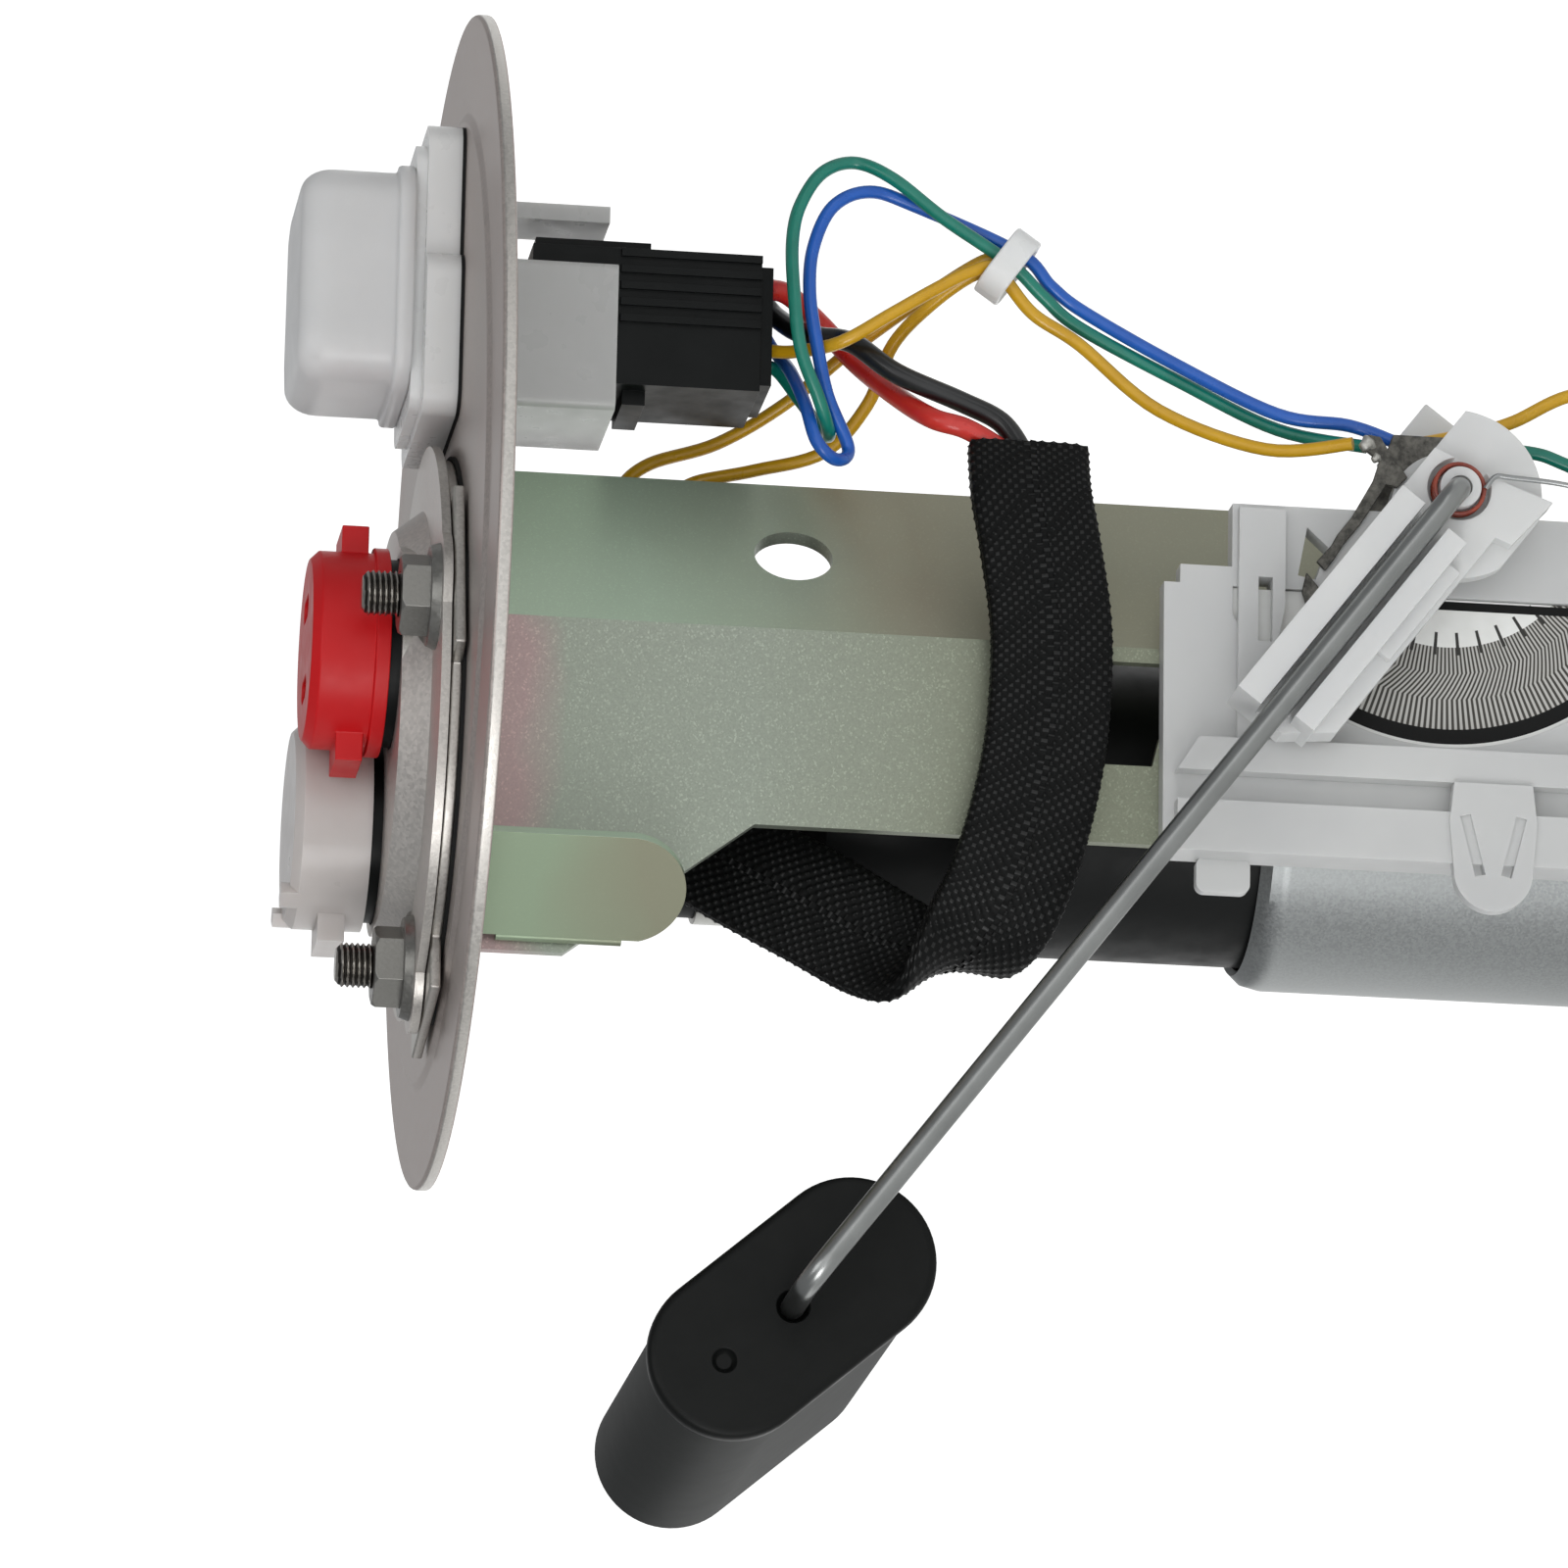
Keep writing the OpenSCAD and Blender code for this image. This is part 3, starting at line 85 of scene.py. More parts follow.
def makeCamera(v):
    a, b, t = (math.radians(v[k]) for k in ("heading", "tilt", "roll"))
    forward = Vector((math.sin(a) * math.cos(b), math.cos(a) * math.cos(b), -math.sin(b)))
    down = Vector((0, 0, -1))
    side = (down - forward * forward.dot(down)).normalized()
    top = side.cross(forward)
    right = side * math.cos(t) + top * math.sin(t)
    up = top * math.cos(t) - side * math.sin(t)
    half = v["picture"] / 2
    perMm = 1 / v["scale"]
    place = Vector(v["anchor"]) - forward * v["distance"]
    place += -right * (v["anchorAt"][0] - half) * perMm + up * (v["anchorAt"][1] - half) * perMm
    data = bpy.data.cameras.new("photoCamera")
    data.sensor_width = v["sensor"]
    data.lens = v["scale"] * v["distance"] / v["picture"] * v["sensor"]
    data.clip_start, data.clip_end = 0.1, 60
    camera = bpy.data.objects.new("photoCamera", data)
    turn = Matrix((right, up, -forward)).transposed().to_4x4()
    camera.matrix_world = Matrix.Translation(place * mm) @ turn
    scene.collection.objects.link(camera)
    scene.camera = camera


makeCamera(cameraValues)
print("camera placed")

# Helpers for finishes


def hexColour(text):
    # sRGB hex to linear
    parts = [int(text[i:i + 2], 16) / 255 for i in (1, 3, 5)]
    return tuple(c / 12.92 if c <= 0.04045 else ((c + 0.055) / 1.055) ** 2.4 for c in parts) + (1.0,)


def addNode(tree, kind, inputs=(), out=0, **settings):
    # an input is a number, a hex colour or another node's output, given in order or by its name
    node = tree.nodes.new("ShaderNode" + kind)
    for key, value in settings.items():
        setattr(node, key, value)
    for key, value in inputs.items() if isinstance(inputs, dict) else enumerate(inputs):
        if isinstance(value, bpy.types.NodeSocket):
            tree.links.new(value, node.inputs[key])
        else:
            node.inputs[key].default_value = hexColour(value) if isinstance(value, str) else value
    return list(node.outputs) if out is None else node.outputs[out]


def startMaterial(name):
    # gives the material, add, which puts nodes into it, and the place of each point on the piece
    material = bpy.data.materials.new(name)
    material.use_nodes = True
    material.node_tree.nodes.clear()
    add = partial(addNode, material.node_tree)
    return material, add, add("TexCoord", out="Object")


def endMaterial(material, add, inputs):
    add("OutputMaterial", {"Surface": add("BsdfPrincipled", inputs)}, None)
    return material


def patches(add, place, size, detail=3, low=0, high=1):
    # soft patches about size mm wide, from low to high
    noise = add("TexNoise", {"Vector": place, "Scale": 1000 / size, "Detail": detail})
    return add("MapRange", (noise, 0.3, 0.7, low, high))


def cloudy(add, place, size, first, second, detail=3):
    # two colours that drift into each other in such patches
    cloud = patches(add, place, size, detail)
    return add("Mix", {0: cloud, 6: first, 7: second}, 2, data_type="RGBA")


def fineRelief(add, place, size, detail, depth, strength):
    # raised grain about size mm wide and depth mm high
    noise = add("TexNoise", {"Vector": place, "Scale": 1000 / size, "Detail": detail})
    return add("Bump", {"Strength": strength, "Distance": depth * mm, "Height": noise})


def crystals(add, place, size):
    # each crystal of a plating has a brightness of its own
    cells = add("TexVoronoi", {"Vector": place, "Scale": 1000 / size}, "Color")
    return add("SeparateXYZ", (cells,))


# Metal finishes


def zincPassivate(name, green, olive, mauve, bloom, glitter):
    # zinc plated steel under a pale chromate: fine sparkling grain with painted glints, grey green, mauve towards
    # the flange; the face that leans towards +X carries painted light
    v = {
        "slopeGreenPaintedLight": "#c8dec6", "slopeOlivePaintedLight": "#a3a38f",    # painted light for the face that leans towards +X, lighter near the flange where the plug and flange shade it
        "frontFade": (-30, -60), "slopeLightFade": (-20, -50),    # heights in mm between which green turns olive; on the leaning face this fade is painted light
        "wander": 12, "wanderSize": 22,                      # mm by which these borders wander
        "grain": 0.19,
    }
    material, add, place = startMaterial(name)
    height = add("SeparateXYZ", (place,), 2)
    facing = add("SeparateXYZ", (add("TexCoord", out="Normal"),))
    lean = add("MapRange", (facing, 0.2, 0.4, 0, 1))
    noise = add("TexNoise", {"Vector": place, "Scale": 1000 / v["wanderSize"], "Detail": 3})
    drift = add("Math", (noise, v["wander"] * mm, -v["wander"] / 2 * mm), operation="MULTIPLY_ADD")
    along = add("Math", (height, drift), operation="ADD")
    frontFade, slopeLightFade, nearFlange = (add("MapRange", (along, a * mm, b * mm, 0, 1))
                                    for a, b in (v["frontFade"], v["slopeLightFade"], bloom))
    front = add("Mix", {0: frontFade, 6: green, 7: olive}, 2, data_type="RGBA")
    # mauve towards the flange, between the heights given in bloom
    front = add("Mix", {0: nearFlange, 6: front, 7: mauve}, 2, data_type="RGBA")
    # painted light: the face leaning towards +X gets a lighter colour of its own, for the light that the plug and
    # flange keep off it
    slopeLightColour = add("Mix", {0: slopeLightFade, 6: v["slopeGreenPaintedLight"], 7: v["slopeOlivePaintedLight"]}, 2, data_type="RGBA")
    colour = add("Mix", {0: lean, 6: front, 7: slopeLightColour}, 2, data_type="RGBA")
    # every crystal is a little lighter or darker, and one in seven gets a painted glint, less of it on the leaning
    # face
    glint = crystals(add, place, v["grain"])
    spark = add("MapRange", (glint, 0.86, 1, 0, 1))
    strength = add("MapRange", (lean, 0, 1, glitter, 0.25 * glitter))
    swing, flash = (add("Math", (strength, share), operation="MULTIPLY") for share in (0.16, 0.3))
    middle = add("Math", (glint, 0.5), operation="SUBTRACT")
    shade = add("Math", (middle, swing, 0.97), operation="MULTIPLY_ADD")
    shade = add("Math", (spark, flash, shade), operation="MULTIPLY_ADD")
    return endMaterial(material, add, {
        "Base Color": add("VectorMath", {0: colour, "Scale": shade}, operation="SCALE"),
        "Metallic": 0.55,
        "Roughness": add("Math", (glint, 0.1, 0.36), operation="MULTIPLY_ADD"),
        "Normal": fineRelief(add, place, v["grain"], 2, 0.01, 0.4 * glitter)})


def platedSteel(name, base, tint, roughness, grain=0.35, depth=0.015, metallic=0.85, rim=None):
    # zinc plated steel sheet, rolled and barrel plated: fine bright grain, a faint tint that wanders
    material, add, place = startMaterial(name)
    colour = cloudy(add, place, 26, base, tint)
    if rim:  # another tint that sets in between two distances from the axis, in mm
        squares = [add("Math", (axis, 2), operation="POWER")
                   for axis in add("SeparateXYZ", (place,), None)[:2]]
        total = add("Math", squares, operation="ADD")
        distance = add("Math", (total,), operation="SQRT")
        share = add("MapRange", (distance, rim[1] * mm, rim[2] * mm, 0, 0.85))
        colour = add("Mix", {0: share, 6: colour, 7: rim[0]}, 2, data_type="RGBA")
    glint = crystals(add, place, grain)
    shade = add("Math", (glint, 0.22, 0.89), operation="MULTIPLY_ADD")
    return endMaterial(material, add, {
        "Base Color": add("VectorMath", {0: colour, "Scale": shade}, operation="SCALE"),
        "Metallic": metallic,
        "Roughness": add("Math", (glint, 0.14, roughness - 0.06), operation="MULTIPLY_ADD"),
        "Normal": fineRelief(add, place, grain, 3, depth, 0.5)})


def satinCan():
    # steel can, matt nickel plated: very fine bright sparkle over a smooth drawn surface
    v = {"base": "#9da0a0", "grain": 0.25}
    material, add, place = startMaterial("satinCan")
    glint = crystals(add, place, v["grain"])
    shade = add("Math", (glint, 0.26, 0.87), operation="MULTIPLY_ADD")
    colour = add("VectorMath", {0: hexColour(v["base"])[:3], "Scale": shade}, operation="SCALE")
    return endMaterial(material, add, {
        "Base Color": colour,
        "Metallic": 0.9,
        "Roughness": add("Math", (glint, 0.1, 0.38), operation="MULTIPLY_ADD"),
        "Normal": fineRelief(add, place, v["grain"], 2, 0.014, 0.5)})


def turnedSteel(name, base, dark, roughness):
    # bare bar or strip, turned or rolled: patches of dull film and bright metal, about 0.8 mm wide
    material, add, place = startMaterial(name)
    return endMaterial(material, add, {
        "Base Color": cloudy(add, place, 0.8, base, dark, 4), "Metallic": 1.0, "Roughness": roughness,
        "Normal": fineRelief(add, place, 0.25, 3, 0.01, 0.5)})


def drawnWire(name, base, other, roughness):
    # stainless wire, cold drawn: satin, slightly cloudy, with fine die marks
    material, add, place = startMaterial(name)
    return endMaterial(material, add, {
        "Base Color": cloudy(add, place, 5, base, other), "Metallic": 1.0, "Roughness": roughness,
        "Normal": fineRelief(add, place, 0.35, 2, 0.002, 0.3)})


def dullTin(name, pit, smear, roughness):
    # tin plated bronze strip after dip soldering: grey pits and smears
    material, add, place = startMaterial(name)
    noise = add("TexNoise", {"Vector": place, "Scale": 1000 / 0.9, "Detail": 5, "Roughness": 0.6})
    share = add("MapRange", (noise, 0.35, 0.65, 0, 1))
    return endMaterial(material, add, {
        "Base Color": add("Mix", {0: share, 6: pit, 7: smear}, 2, data_type="RGBA"),
        "Metallic": 0.85, "Roughness": roughness,
        "Normal": add("Bump", {"Strength": 0.7, "Distance": 0.06 * mm, "Height": noise})})


# Plastic, rubber, cloth and ceramic finishes


def mouldedPlastic(name, base, other, roughness, cloud=4, depth=0.004, coat=0.0, scatter=0.0, reach=1.0,
                   specular=0.5, mottle=1.0, under=None):
    # injection moulded part: soft flow clouds, fine spark-eroded grain; light goes a little way into natural ones
    material, add, place = startMaterial(name)
    colour = cloudy(add, place, cloud, base, other)
    if under:  # painted shade: below the flange the plastic is painted greyer, where the flange and the dark plug shade it
        height = add("SeparateXYZ", (place,), 2)
        thin = add("MapRange", (height, 0, 3 * mm, 1, 0))
        colour = add("Mix", {0: thin, 6: colour, 7: under}, 2, data_type="RGBA")
    inputs = {"Base Color": colour, "IOR": 1.5, "Coat Weight": coat, "Coat Roughness": 0.15,
              "Specular IOR Level": specular,
              "Roughness": patches(add, place, 3, 4, roughness - 0.05 * mottle, roughness + 0.07 * mottle),
              "Normal": fineRelief(add, place, 0.5, 3, depth, 0.5)}
    if scatter:
        inputs.update({"Subsurface Weight": scatter, "Subsurface Scale": reach * mm,
                       "Subsurface Radius": (1.0, 0.95, 0.9)})
    return endMaterial(material, add, inputs)


def wovenBraid():
    # flat woven polyester sleeve: matt yarn; every raised crossing takes a lighter finish of its own, painted
    # sheen, with a little real shine
    material, add, place = startMaterial("wovenBraid")
    return endMaterial(material, add, {
        "Base Color": cloudy(add, place, 0.35, "#070808", "#0b0c0c"), "Roughness": 0.5, "Specular IOR Level": 0.14,
        "Normal": fineRelief(add, place, 0.3, 2, 0.015, 0.4)})


def meshCloth():
    # strainer sock: woven nylon gauze, its threads really finer but drawn coarse enough to show
    v = {"thread": 0.31415, "gap": "#8c8672", "yarn": "#e2dcc8"}   # mm from thread to thread
    material, add, place = startMaterial("meshCloth")
    threads = [add("TexWave", {"Vector": place, "Scale": math.pi / 10 / (v["thread"] * mm)}, "Fac",
                   bands_direction=way) for way in "XY"]
    weave = add("Math", threads, operation="MULTIPLY")
    return endMaterial(material, add, {
        "Base Color": add("Mix", {0: weave, 6: v["gap"], 7: v["yarn"]}, 2, data_type="RGBA"),
        "Roughness": 0.7, "Sheen Weight": 0.2,
        "Normal": add("Bump", {"Strength": 0.8, "Distance": 0.12 * mm, "Height": weave})})


def printedCard():
    # ceramic card with the fired resistor print: fine grey traces in a fan, tick lines; a black arc and a black bar
    # are painted shade of the gaps by the frame
    v = {
        "pivot": (9.8, -107.9),                        # X and Z of the sender's pivot, the centre of all the radii
        "fan": (16.0, 25.4), "pitch": 1.45,            # radii of the traces, degrees from trace to trace
        "kink": 5.2, "kinkAt": (19.0, 22.0),           # degrees by which they jog, and the radii where they do
        "ticks": (14.3, 16.9), "tickPitch": 9.1, "tickHalf": 0.075,
        "arc": (25.4, 27.1), "bar": (-1.9, -0.9),      # radii of the black arc, X of the black bar, both painted shade of gaps by the frame
        "end": 15.2,                                   # mm above the pivot where the print stops, under the frame
    }
    material, add, place = startMaterial("printedCard")

    def between(value, low, high):
        over = add("Math", (value, low), operation="GREATER_THAN")
        under = add("Math", (value, high), operation="LESS_THAN")
        return add("Math", (over, under), operation="MULTIPLY")

    inMm = add("VectorMath", {0: place, "Scale": 1000}, operation="SCALE")
    x, _, z = add("SeparateXYZ", (inMm,), None)
    dx = add("Math", (x, v["pivot"][0]), operation="SUBTRACT")
    dz = add("Math", (z, v["pivot"][1]), operation="SUBTRACT")
    radius = add("VectorMath", (add("CombineXYZ", (dx, 0, dz)),), "Value", operation="LENGTH")
    mirrored = add("Math", (dx, -1), operation="MULTIPLY")
    radians = add("Math", (dz, mirrored), operation="ARCTAN2")
    turn = add("Math", (radians,), operation="DEGREES")

    jog = add("MapRange", (radius, *v["kinkAt"], v["kink"], 0))
    bent = add("Math", (turn, jog), operation="ADD")
    count = add("Math", (bent, v["pitch"]), operation="DIVIDE")
    stripe = add("Math", (count, 0.5), operation="PINGPONG")
    lines = add("MapRange", (stripe, 0.2, 0.3, 0, 1))
    traces = add("Mix", {0: lines, 6: "#c2c1bd", 7: "#45433f"}, 2, data_type="RGBA")
    turned = add("Math", (turn, v["kink"]), operation="ADD")
    count = add("Math", (turned, v["tickPitch"]), operation="DIVIDE")
    tooth = add("Math", (count, 0.5), operation="PINGPONG")
    tick = add("Math", (tooth, v["tickHalf"]), operation="LESS_THAN")
    printed = add("Math", (dz, v["end"]), operation="LESS_THAN")
    # painted shade: the black arc and bar stand in for the dark gaps by the frame
    black = add("Math", (between(radius, *v["arc"]), between(x, *v["bar"])), operation="MAXIMUM")
    colour = cloudy(add, place, 3, "#ecedea", "#f4f5f3")
    for zone, drawn, ink in ((between(radius, *v["fan"]), printed, traces),
                             (between(radius, *v["ticks"]), tick, "#3a3937"), (black, printed, "#070808")):
        share = add("Math", (zone, drawn), operation="MULTIPLY")
        colour = add("Mix", {0: share, 6: colour, 7: ink}, 2, data_type="RGBA")
    return endMaterial(material, add, {"Base Color": colour, "Roughness": 0.55, "Specular IOR Level": 0.25})


# Each finish by the way it is made: its two colours and roughness, then what differs from the usual values
finishRows = {
    zincPassivate: {
        "zincPassivate": ("#9da598", "#8f9481", "#b09a98", dict(bloom=(-10.5, -5.0), glitter=1.0)),
        "zincLug": ("#8c8d78", "#8c8d78", "#8fa087", dict(bloom=(-21.0, -9.0), glitter=0.1)),
    },
    platedSteel: {
        "flangeSteel": ("#b9b3ae", "#b8ada8", 0.42, dict(grain=0.3, metallic=0.7, rim=("#b7aca7", 40, 62))),
        "coverSteel": ("#ccc8c3", "#c6bfba", 0.4, dict(metallic=0.7)),
        "studPlateSteel": ("#bab7b0", "#b1aea8", 0.36, {}),
        "nutSteel": ("#8b8a86", "#7e7d79", 0.34, dict(grain=0.4, depth=0.03)),
        # the sheared edges: a finish of their own, partly painted highlight
        "cutSteel": ("#c3c0bb", "#b9b5b0", 0.36, dict(grain=0.3, depth=0.03)),
        "clampSteel": ("#b9b9b4", "#a3a39e", 0.33, dict(grain=0.5)),
        "tubeSteel": ("#a7a8a3", "#93938e", 0.3, dict(grain=0.4)),
        "rotorSteel": ("#8d867d", "#7d766e", 0.4, dict(grain=0.5)),
        "dieCast": ("#a5a8a8", "#989b9b", 0.5, dict(grain=0.6, depth=0.04)),
    },
    turnedSteel: {
        "studSteel": ("#b4b0aa", "#98948f", 0.24, {}),
        "threadRoot": ("#3a3835", "#2a2826", 0.5, {}),
        "contactBrass": ("#c9a45c", "#9c7c40", 0.28, {}),
    },
    drawnWire: {
        "armWire": ("#a2a4a3", "#969897", 0.3, {}),
        "springWire": ("#b4b6b6", "#a4a6a6", 0.24, {}),
    },
    dullTin: {
        "dullTin": ("#7c7b77", "#a3a29d", 0.45, {}),
        "dippedTin": ("#4b4a47", "#77756f", 0.45, {}),
        "solder": ("#94938d", "#d2d1cb", 0.45, {}),
    },
    mouldedPlastic: {
        "enamelCopper": ("#7c2c1e", "#a8452c", 0.26, dict(cloud=2, coat=0.5)),
        "blackNylon": ("#090c0c", "#0d1010", 0.42, dict(cloud=12, depth=0.006, specular=0.18)),
        "housingNylon": ("#0c0e0e", "#101212", 0.48, dict(cloud=12, depth=0.01, specular=0.2)),
        # the connector's greyer colour below the flange is painted shade
        "naturalNylon": ("#e0e1e0", "#e8e8e7", 0.3, dict(cloud=14, depth=0.003, coat=0.1, scatter=0.5,
                                                         reach=2.2, specular=0.4, under="#b4b5b4")),
        "naturalCap": ("#c2bcb9", "#ccc6c3", 0.32, dict(cloud=12, depth=0.003, coat=0.1, scatter=0.6,
                                                        reach=3.0, specular=0.4)),
        "dustCapPlastic": ("#d4d4d4", "#dcdcdc", 0.34, dict(cloud=12, depth=0.003, coat=0.05, scatter=0.6,
                                                            reach=3.0, specular=0.4)),
        "redCap": ("#c40f14", "#cd161c", 0.4, dict(cloud=10, scatter=0.1, reach=0.8, specular=0.3)),
        # one white acetal in two copies: the arm's is painted lighter and the base's painted darker, standing in
        # for the light on each
        "acetal": ("#c9caca", "#d1d2d1", 0.38, dict(cloud=16, depth=0.003, scatter=0.35, reach=1.6,
                                                    specular=0.4)),
        "acetalArm": ("#d9dada", "#e1e2e1", 0.34, dict(cloud=16, depth=0.003, scatter=0.45, reach=2.0,
                                                       specular=0.4)),
        "clipNylon": ("#e6e7e6", "#eff0ef", 0.3, dict(cloud=8, coat=0.1, scatter=0.5, reach=1.2)),
        "floatFoam": ("#1f2120", "#222423", 0.58, dict(cloud=18, depth=0.0, specular=0.14, mottle=0.15)),
        "floatSkin": ("#090b0a", "#0c0e0d", 0.45, dict(cloud=18, specular=0.2)),
        "rubber": ("#121313", "#171818", 0.62, dict(cloud=6, depth=0.01, specular=0.25)),
        "hoseRubber": ("#121314", "#171819", 0.55, dict(cloud=6, depth=0.01, specular=0.25)),
        "redPvc": ("#c9261f", "#d6332a", 0.3, dict(coat=0.25)),
        "blackPvc": ("#0e0f10", "#16181a", 0.3, dict(coat=0.25)),
        "greenPvc": ("#0d7a68", "#118673", 0.3, dict(coat=0.2)),
        "bluePvc": ("#1659b8", "#1b63c6", 0.3, dict(coat=0.2)),
        "yellowPvc": ("#cf9d12", "#dbaa1c", 0.3, dict(coat=0.2)),
        "braidKnot": ("#0c0d0d", "#101111", 0.38, dict(specular=0.4, mottle=0.3)),
        # the inside of the sleeve, painted darker than its outside as painted shade
        "braidLining": ("#030303", "#050505", 0.7, dict(depth=0.005, specular=0.08)),
        "ferrite": ("#3d3f41", "#4a4c4e", 0.6, dict(depth=0.03)),
        "carbon": ("#1d1d1e", "#272728", 0.5, dict(cloud=2, depth=0.02)),
        "phenolic": ("#3a2f26", "#453a2f", 0.5, dict(depth=0.02)),
    },
}
finishes = {name: make(name, *look, **more) for make, rows in finishRows.items()
            for name, (*look, more) in rows.items()}
finishes.update(satinCan=satinCan(), wovenBraid=wovenBraid(), meshCloth=meshCloth(), printedCard=printedCard())
print("finishes mixed:", len(finishes))

# Helpers for shapes


def addPiece(name, mesh, body, stands=()):
    piece = bpy.data.objects.new(name, mesh)
    scene.collection.objects.link(piece)
    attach(piece, body)
    if stands:
        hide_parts(*stands)
    return piece


def shadeByAngle(mesh, angle):
    mesh.polygons.foreach_set("use_smooth", [True] * len(mesh.polygons))
    mesh.set_sharp_from_angle(angle=math.radians(angle))


def meshFrom(work, name, finish, angle=32, level=False):
    # turns a finished bmesh into a shaded mesh
    mesh = bpy.data.meshes.new(name)
    work.to_mesh(mesh)
    work.free()
    shadeByAngle(mesh, angle)
    if level:
        levelNormals(mesh)
    mesh.materials.append(finishes[finish])
    return mesh


def bridge(work, one, two):
    # a closed band of faces between two loops with as many points
    for k in range(len(one)):
        n = (k + 1) % len(one)
        work.faces.new((one[k], one[n], two[n], two[k]))


def ringQuads(rings, sides, start=0, flip=False):
    # the faces of a tube whose rings of points are listed one after the other
    quads = []
    for i in range(rings - 1):
        a, b = start + i * sides, start + (i + 1) * sides
        for j in range(sides):
            k = (j + 1) % sides
            quad = (a + j, a + k, b + k, b + j)
            quads.append(quad[::-1] if flip else quad)
    return quads


def levelNormals(mesh):
    # big faces hold their own direction, so that only the narrow corner faces bend the light
    work = bmesh.new()
    work.from_mesh(mesh)
    normals = [None] * sum(len(f.verts) for f in work.faces)
    starts, count = [], 0
    for face in work.faces:
        starts.append(count)
        count += len(face.verts)
    order = {loop: starts[f.index] + k for f in work.faces for k, loop in enumerate(f.loops)}
    areas = [f.calc_area() for f in work.faces]
    for vert in work.verts:
        left = set(vert.link_faces)
        while left:
            fan, queue = [], [left.pop()]
            while queue:
                face = queue.pop()
                fan.append(face)
                for edge in face.edges:
                    if edge.smooth and vert in edge.verts:
                        for other in edge.link_faces:
                            if other in left:
                                left.discard(other)
                                queue.append(other)
            total = Vector()
            for face in fan:
                total += face.normal * areas[face.index]
            total = total.normalized() if total.length > 0 else fan[0].normal.copy()
            for face in fan:
                for loop in face.loops:
                    if loop.vert == vert:
                        normals[order[loop]] = total
    work.free()
    mesh.normals_split_custom_set(normals)


def roundedCopy(nodeName, finish, slotName, width=0.3, segments=2, angle=28, cutEdge=None):
    # the solid with its corners rolled over by width mm, so that every edge takes a highlight
    work = bmesh.new()
    work.from_mesh(nodes[nodeName].data)
    bmesh.ops.remove_doubles(work, verts=work.verts, dist=2e-6)
    bmesh.ops.dissolve_limit(work, angle_limit=math.radians(0.4), verts=work.verts, edges=work.edges)
    if width:
        edges = [e for e in work.edges if e.is_manifold and e.calc_face_angle(0) > math.radians(angle)]
        bmesh.ops.bevel(work, geom=edges, offset=width * mm, offset_type="OFFSET", segments=segments, profile=0.5,
                        affect="EDGES", clamp_overlap=True, loop_slide=True)
    mesh = meshFrom(work, nodeName + ".dressed", finish, level=True)
    if cutEdge:
        # the sheared edge of a sheet, in a finish of its own that is partly painted highlight: faces that stand
        # across it and are less than cutEdge mm high
        mesh.materials.append(finishes["cutSteel"])
        for face in mesh.polygons:
            heights = [mesh.vertices[i].co.z for i in face.vertices]
            if abs(face.normal.z) < 0.35 and max(heights) - min(heights) < cutEdge * mm:
                face.material_index = 1
    addPiece(nodeName + ".dressed", mesh, bodyOf[nodeName], [nodeName])


def smoothPath(points, steps):
    # the same curve as the solid's, with more points
    p = [Vector(q) for q in points]
    out = []
    for i in range(len(p) - 1):
        a, b, c, d = p[max(i - 1, 0)], p[i], p[i + 1], p[min(i + 2, len(p) - 1)]
        square, cube = 2 * a - 5 * b + 4 * c - d, 3 * b - a - 3 * c + d
        for k in range(steps):
            t = k / steps
            out.append(0.5 * (2 * b + (c - a) * t + square * t * t + cube * t ** 3))
    out.append(p[-1])
    return out


def tubeMesh(name, path, radius, sides, finish):
    mesh = bpy.data.meshes.new(name)
    count = len(path)
    tangents = [(path[min(i + 1, count - 1)] - path[max(i - 1, 0)]).normalized() for i in range(count)]
    normal = tangents[0].orthogonal().normalized()
    verts = []
    for point, tangent in zip(path, tangents):
        normal = (normal - tangent * normal.dot(tangent)).normalized()
        binormal = tangent.cross(normal)
        for j in range(sides):
            a = 2 * math.pi * j / sides
            verts.append((point + (normal * math.cos(a) + binormal * math.sin(a)) * radius) * mm)
    faces = ringQuads(count, sides)
    faces.append(tuple(range(sides - 1, -1, -1)))
    faces.append(tuple((count - 1) * sides + j for j in range(sides)))
    mesh.from_pydata([tuple(p) for p in verts], [], faces)
    shadeByAngle(mesh, 50)
    mesh.materials.append(finishes[finish])
    return mesh


# Flange, cover and ports

# node, finish, slot, mm and steps of its rolled corners, least angle of a corner, mm of its sheared edge
flangePieces = [
    ("flange_plate", "flangeSteel", "zinc_steel", 0.25, 2, 20, 1.9),
    ("port_gasket", "rubber", "black_rubber", 0),
    ("stud_plate", "studPlateSteel", "zinc_steel", 0.25, 2, 28, 2.2),
    ("port_cover", "coverSteel", "zinc_steel", 0.35, 3, 22, 1.6),
    ("cover_nuts", "nutSteel", "zinc_steel", 0.16),
    ("port_body", "blackNylon", "black_nylon"),
    ("supply_tube", "tubeSteel", "stainless", 0),
    ("return_tube", "tubeSteel", "stainless", 0),
    ("return_cap", "redCap", "red_pe", 0.35, 3),
    ("supply_cap", "naturalCap", "natural_nylon", 0.35, 3),
]
for row in flangePieces:
    roundedCopy(*row)

studValues = {
    "places": [(-8.3, -32.5), (-45.3, -12.5), (-6.5, 19.0)],
    "radius": 2.5,
    "pitch": 0.62,      # mm from crest to crest
    "depth": 0.3,
    "flank": 0.8,       # below 1 the roots are wider than the crests
    "rootShare": 0.24,  # of a turn to each side of the root that is painted dark, as painted shade
    "threadFrom": 3.7,
    "top": 13.2,
    "chamfer": 0.75, "chamferSlope": 1.1,
    "head": (2.5, 3.0, 3.7),   # bottom, top and radius of the welded head
    "sides": 40, "perTurn": 8,
}


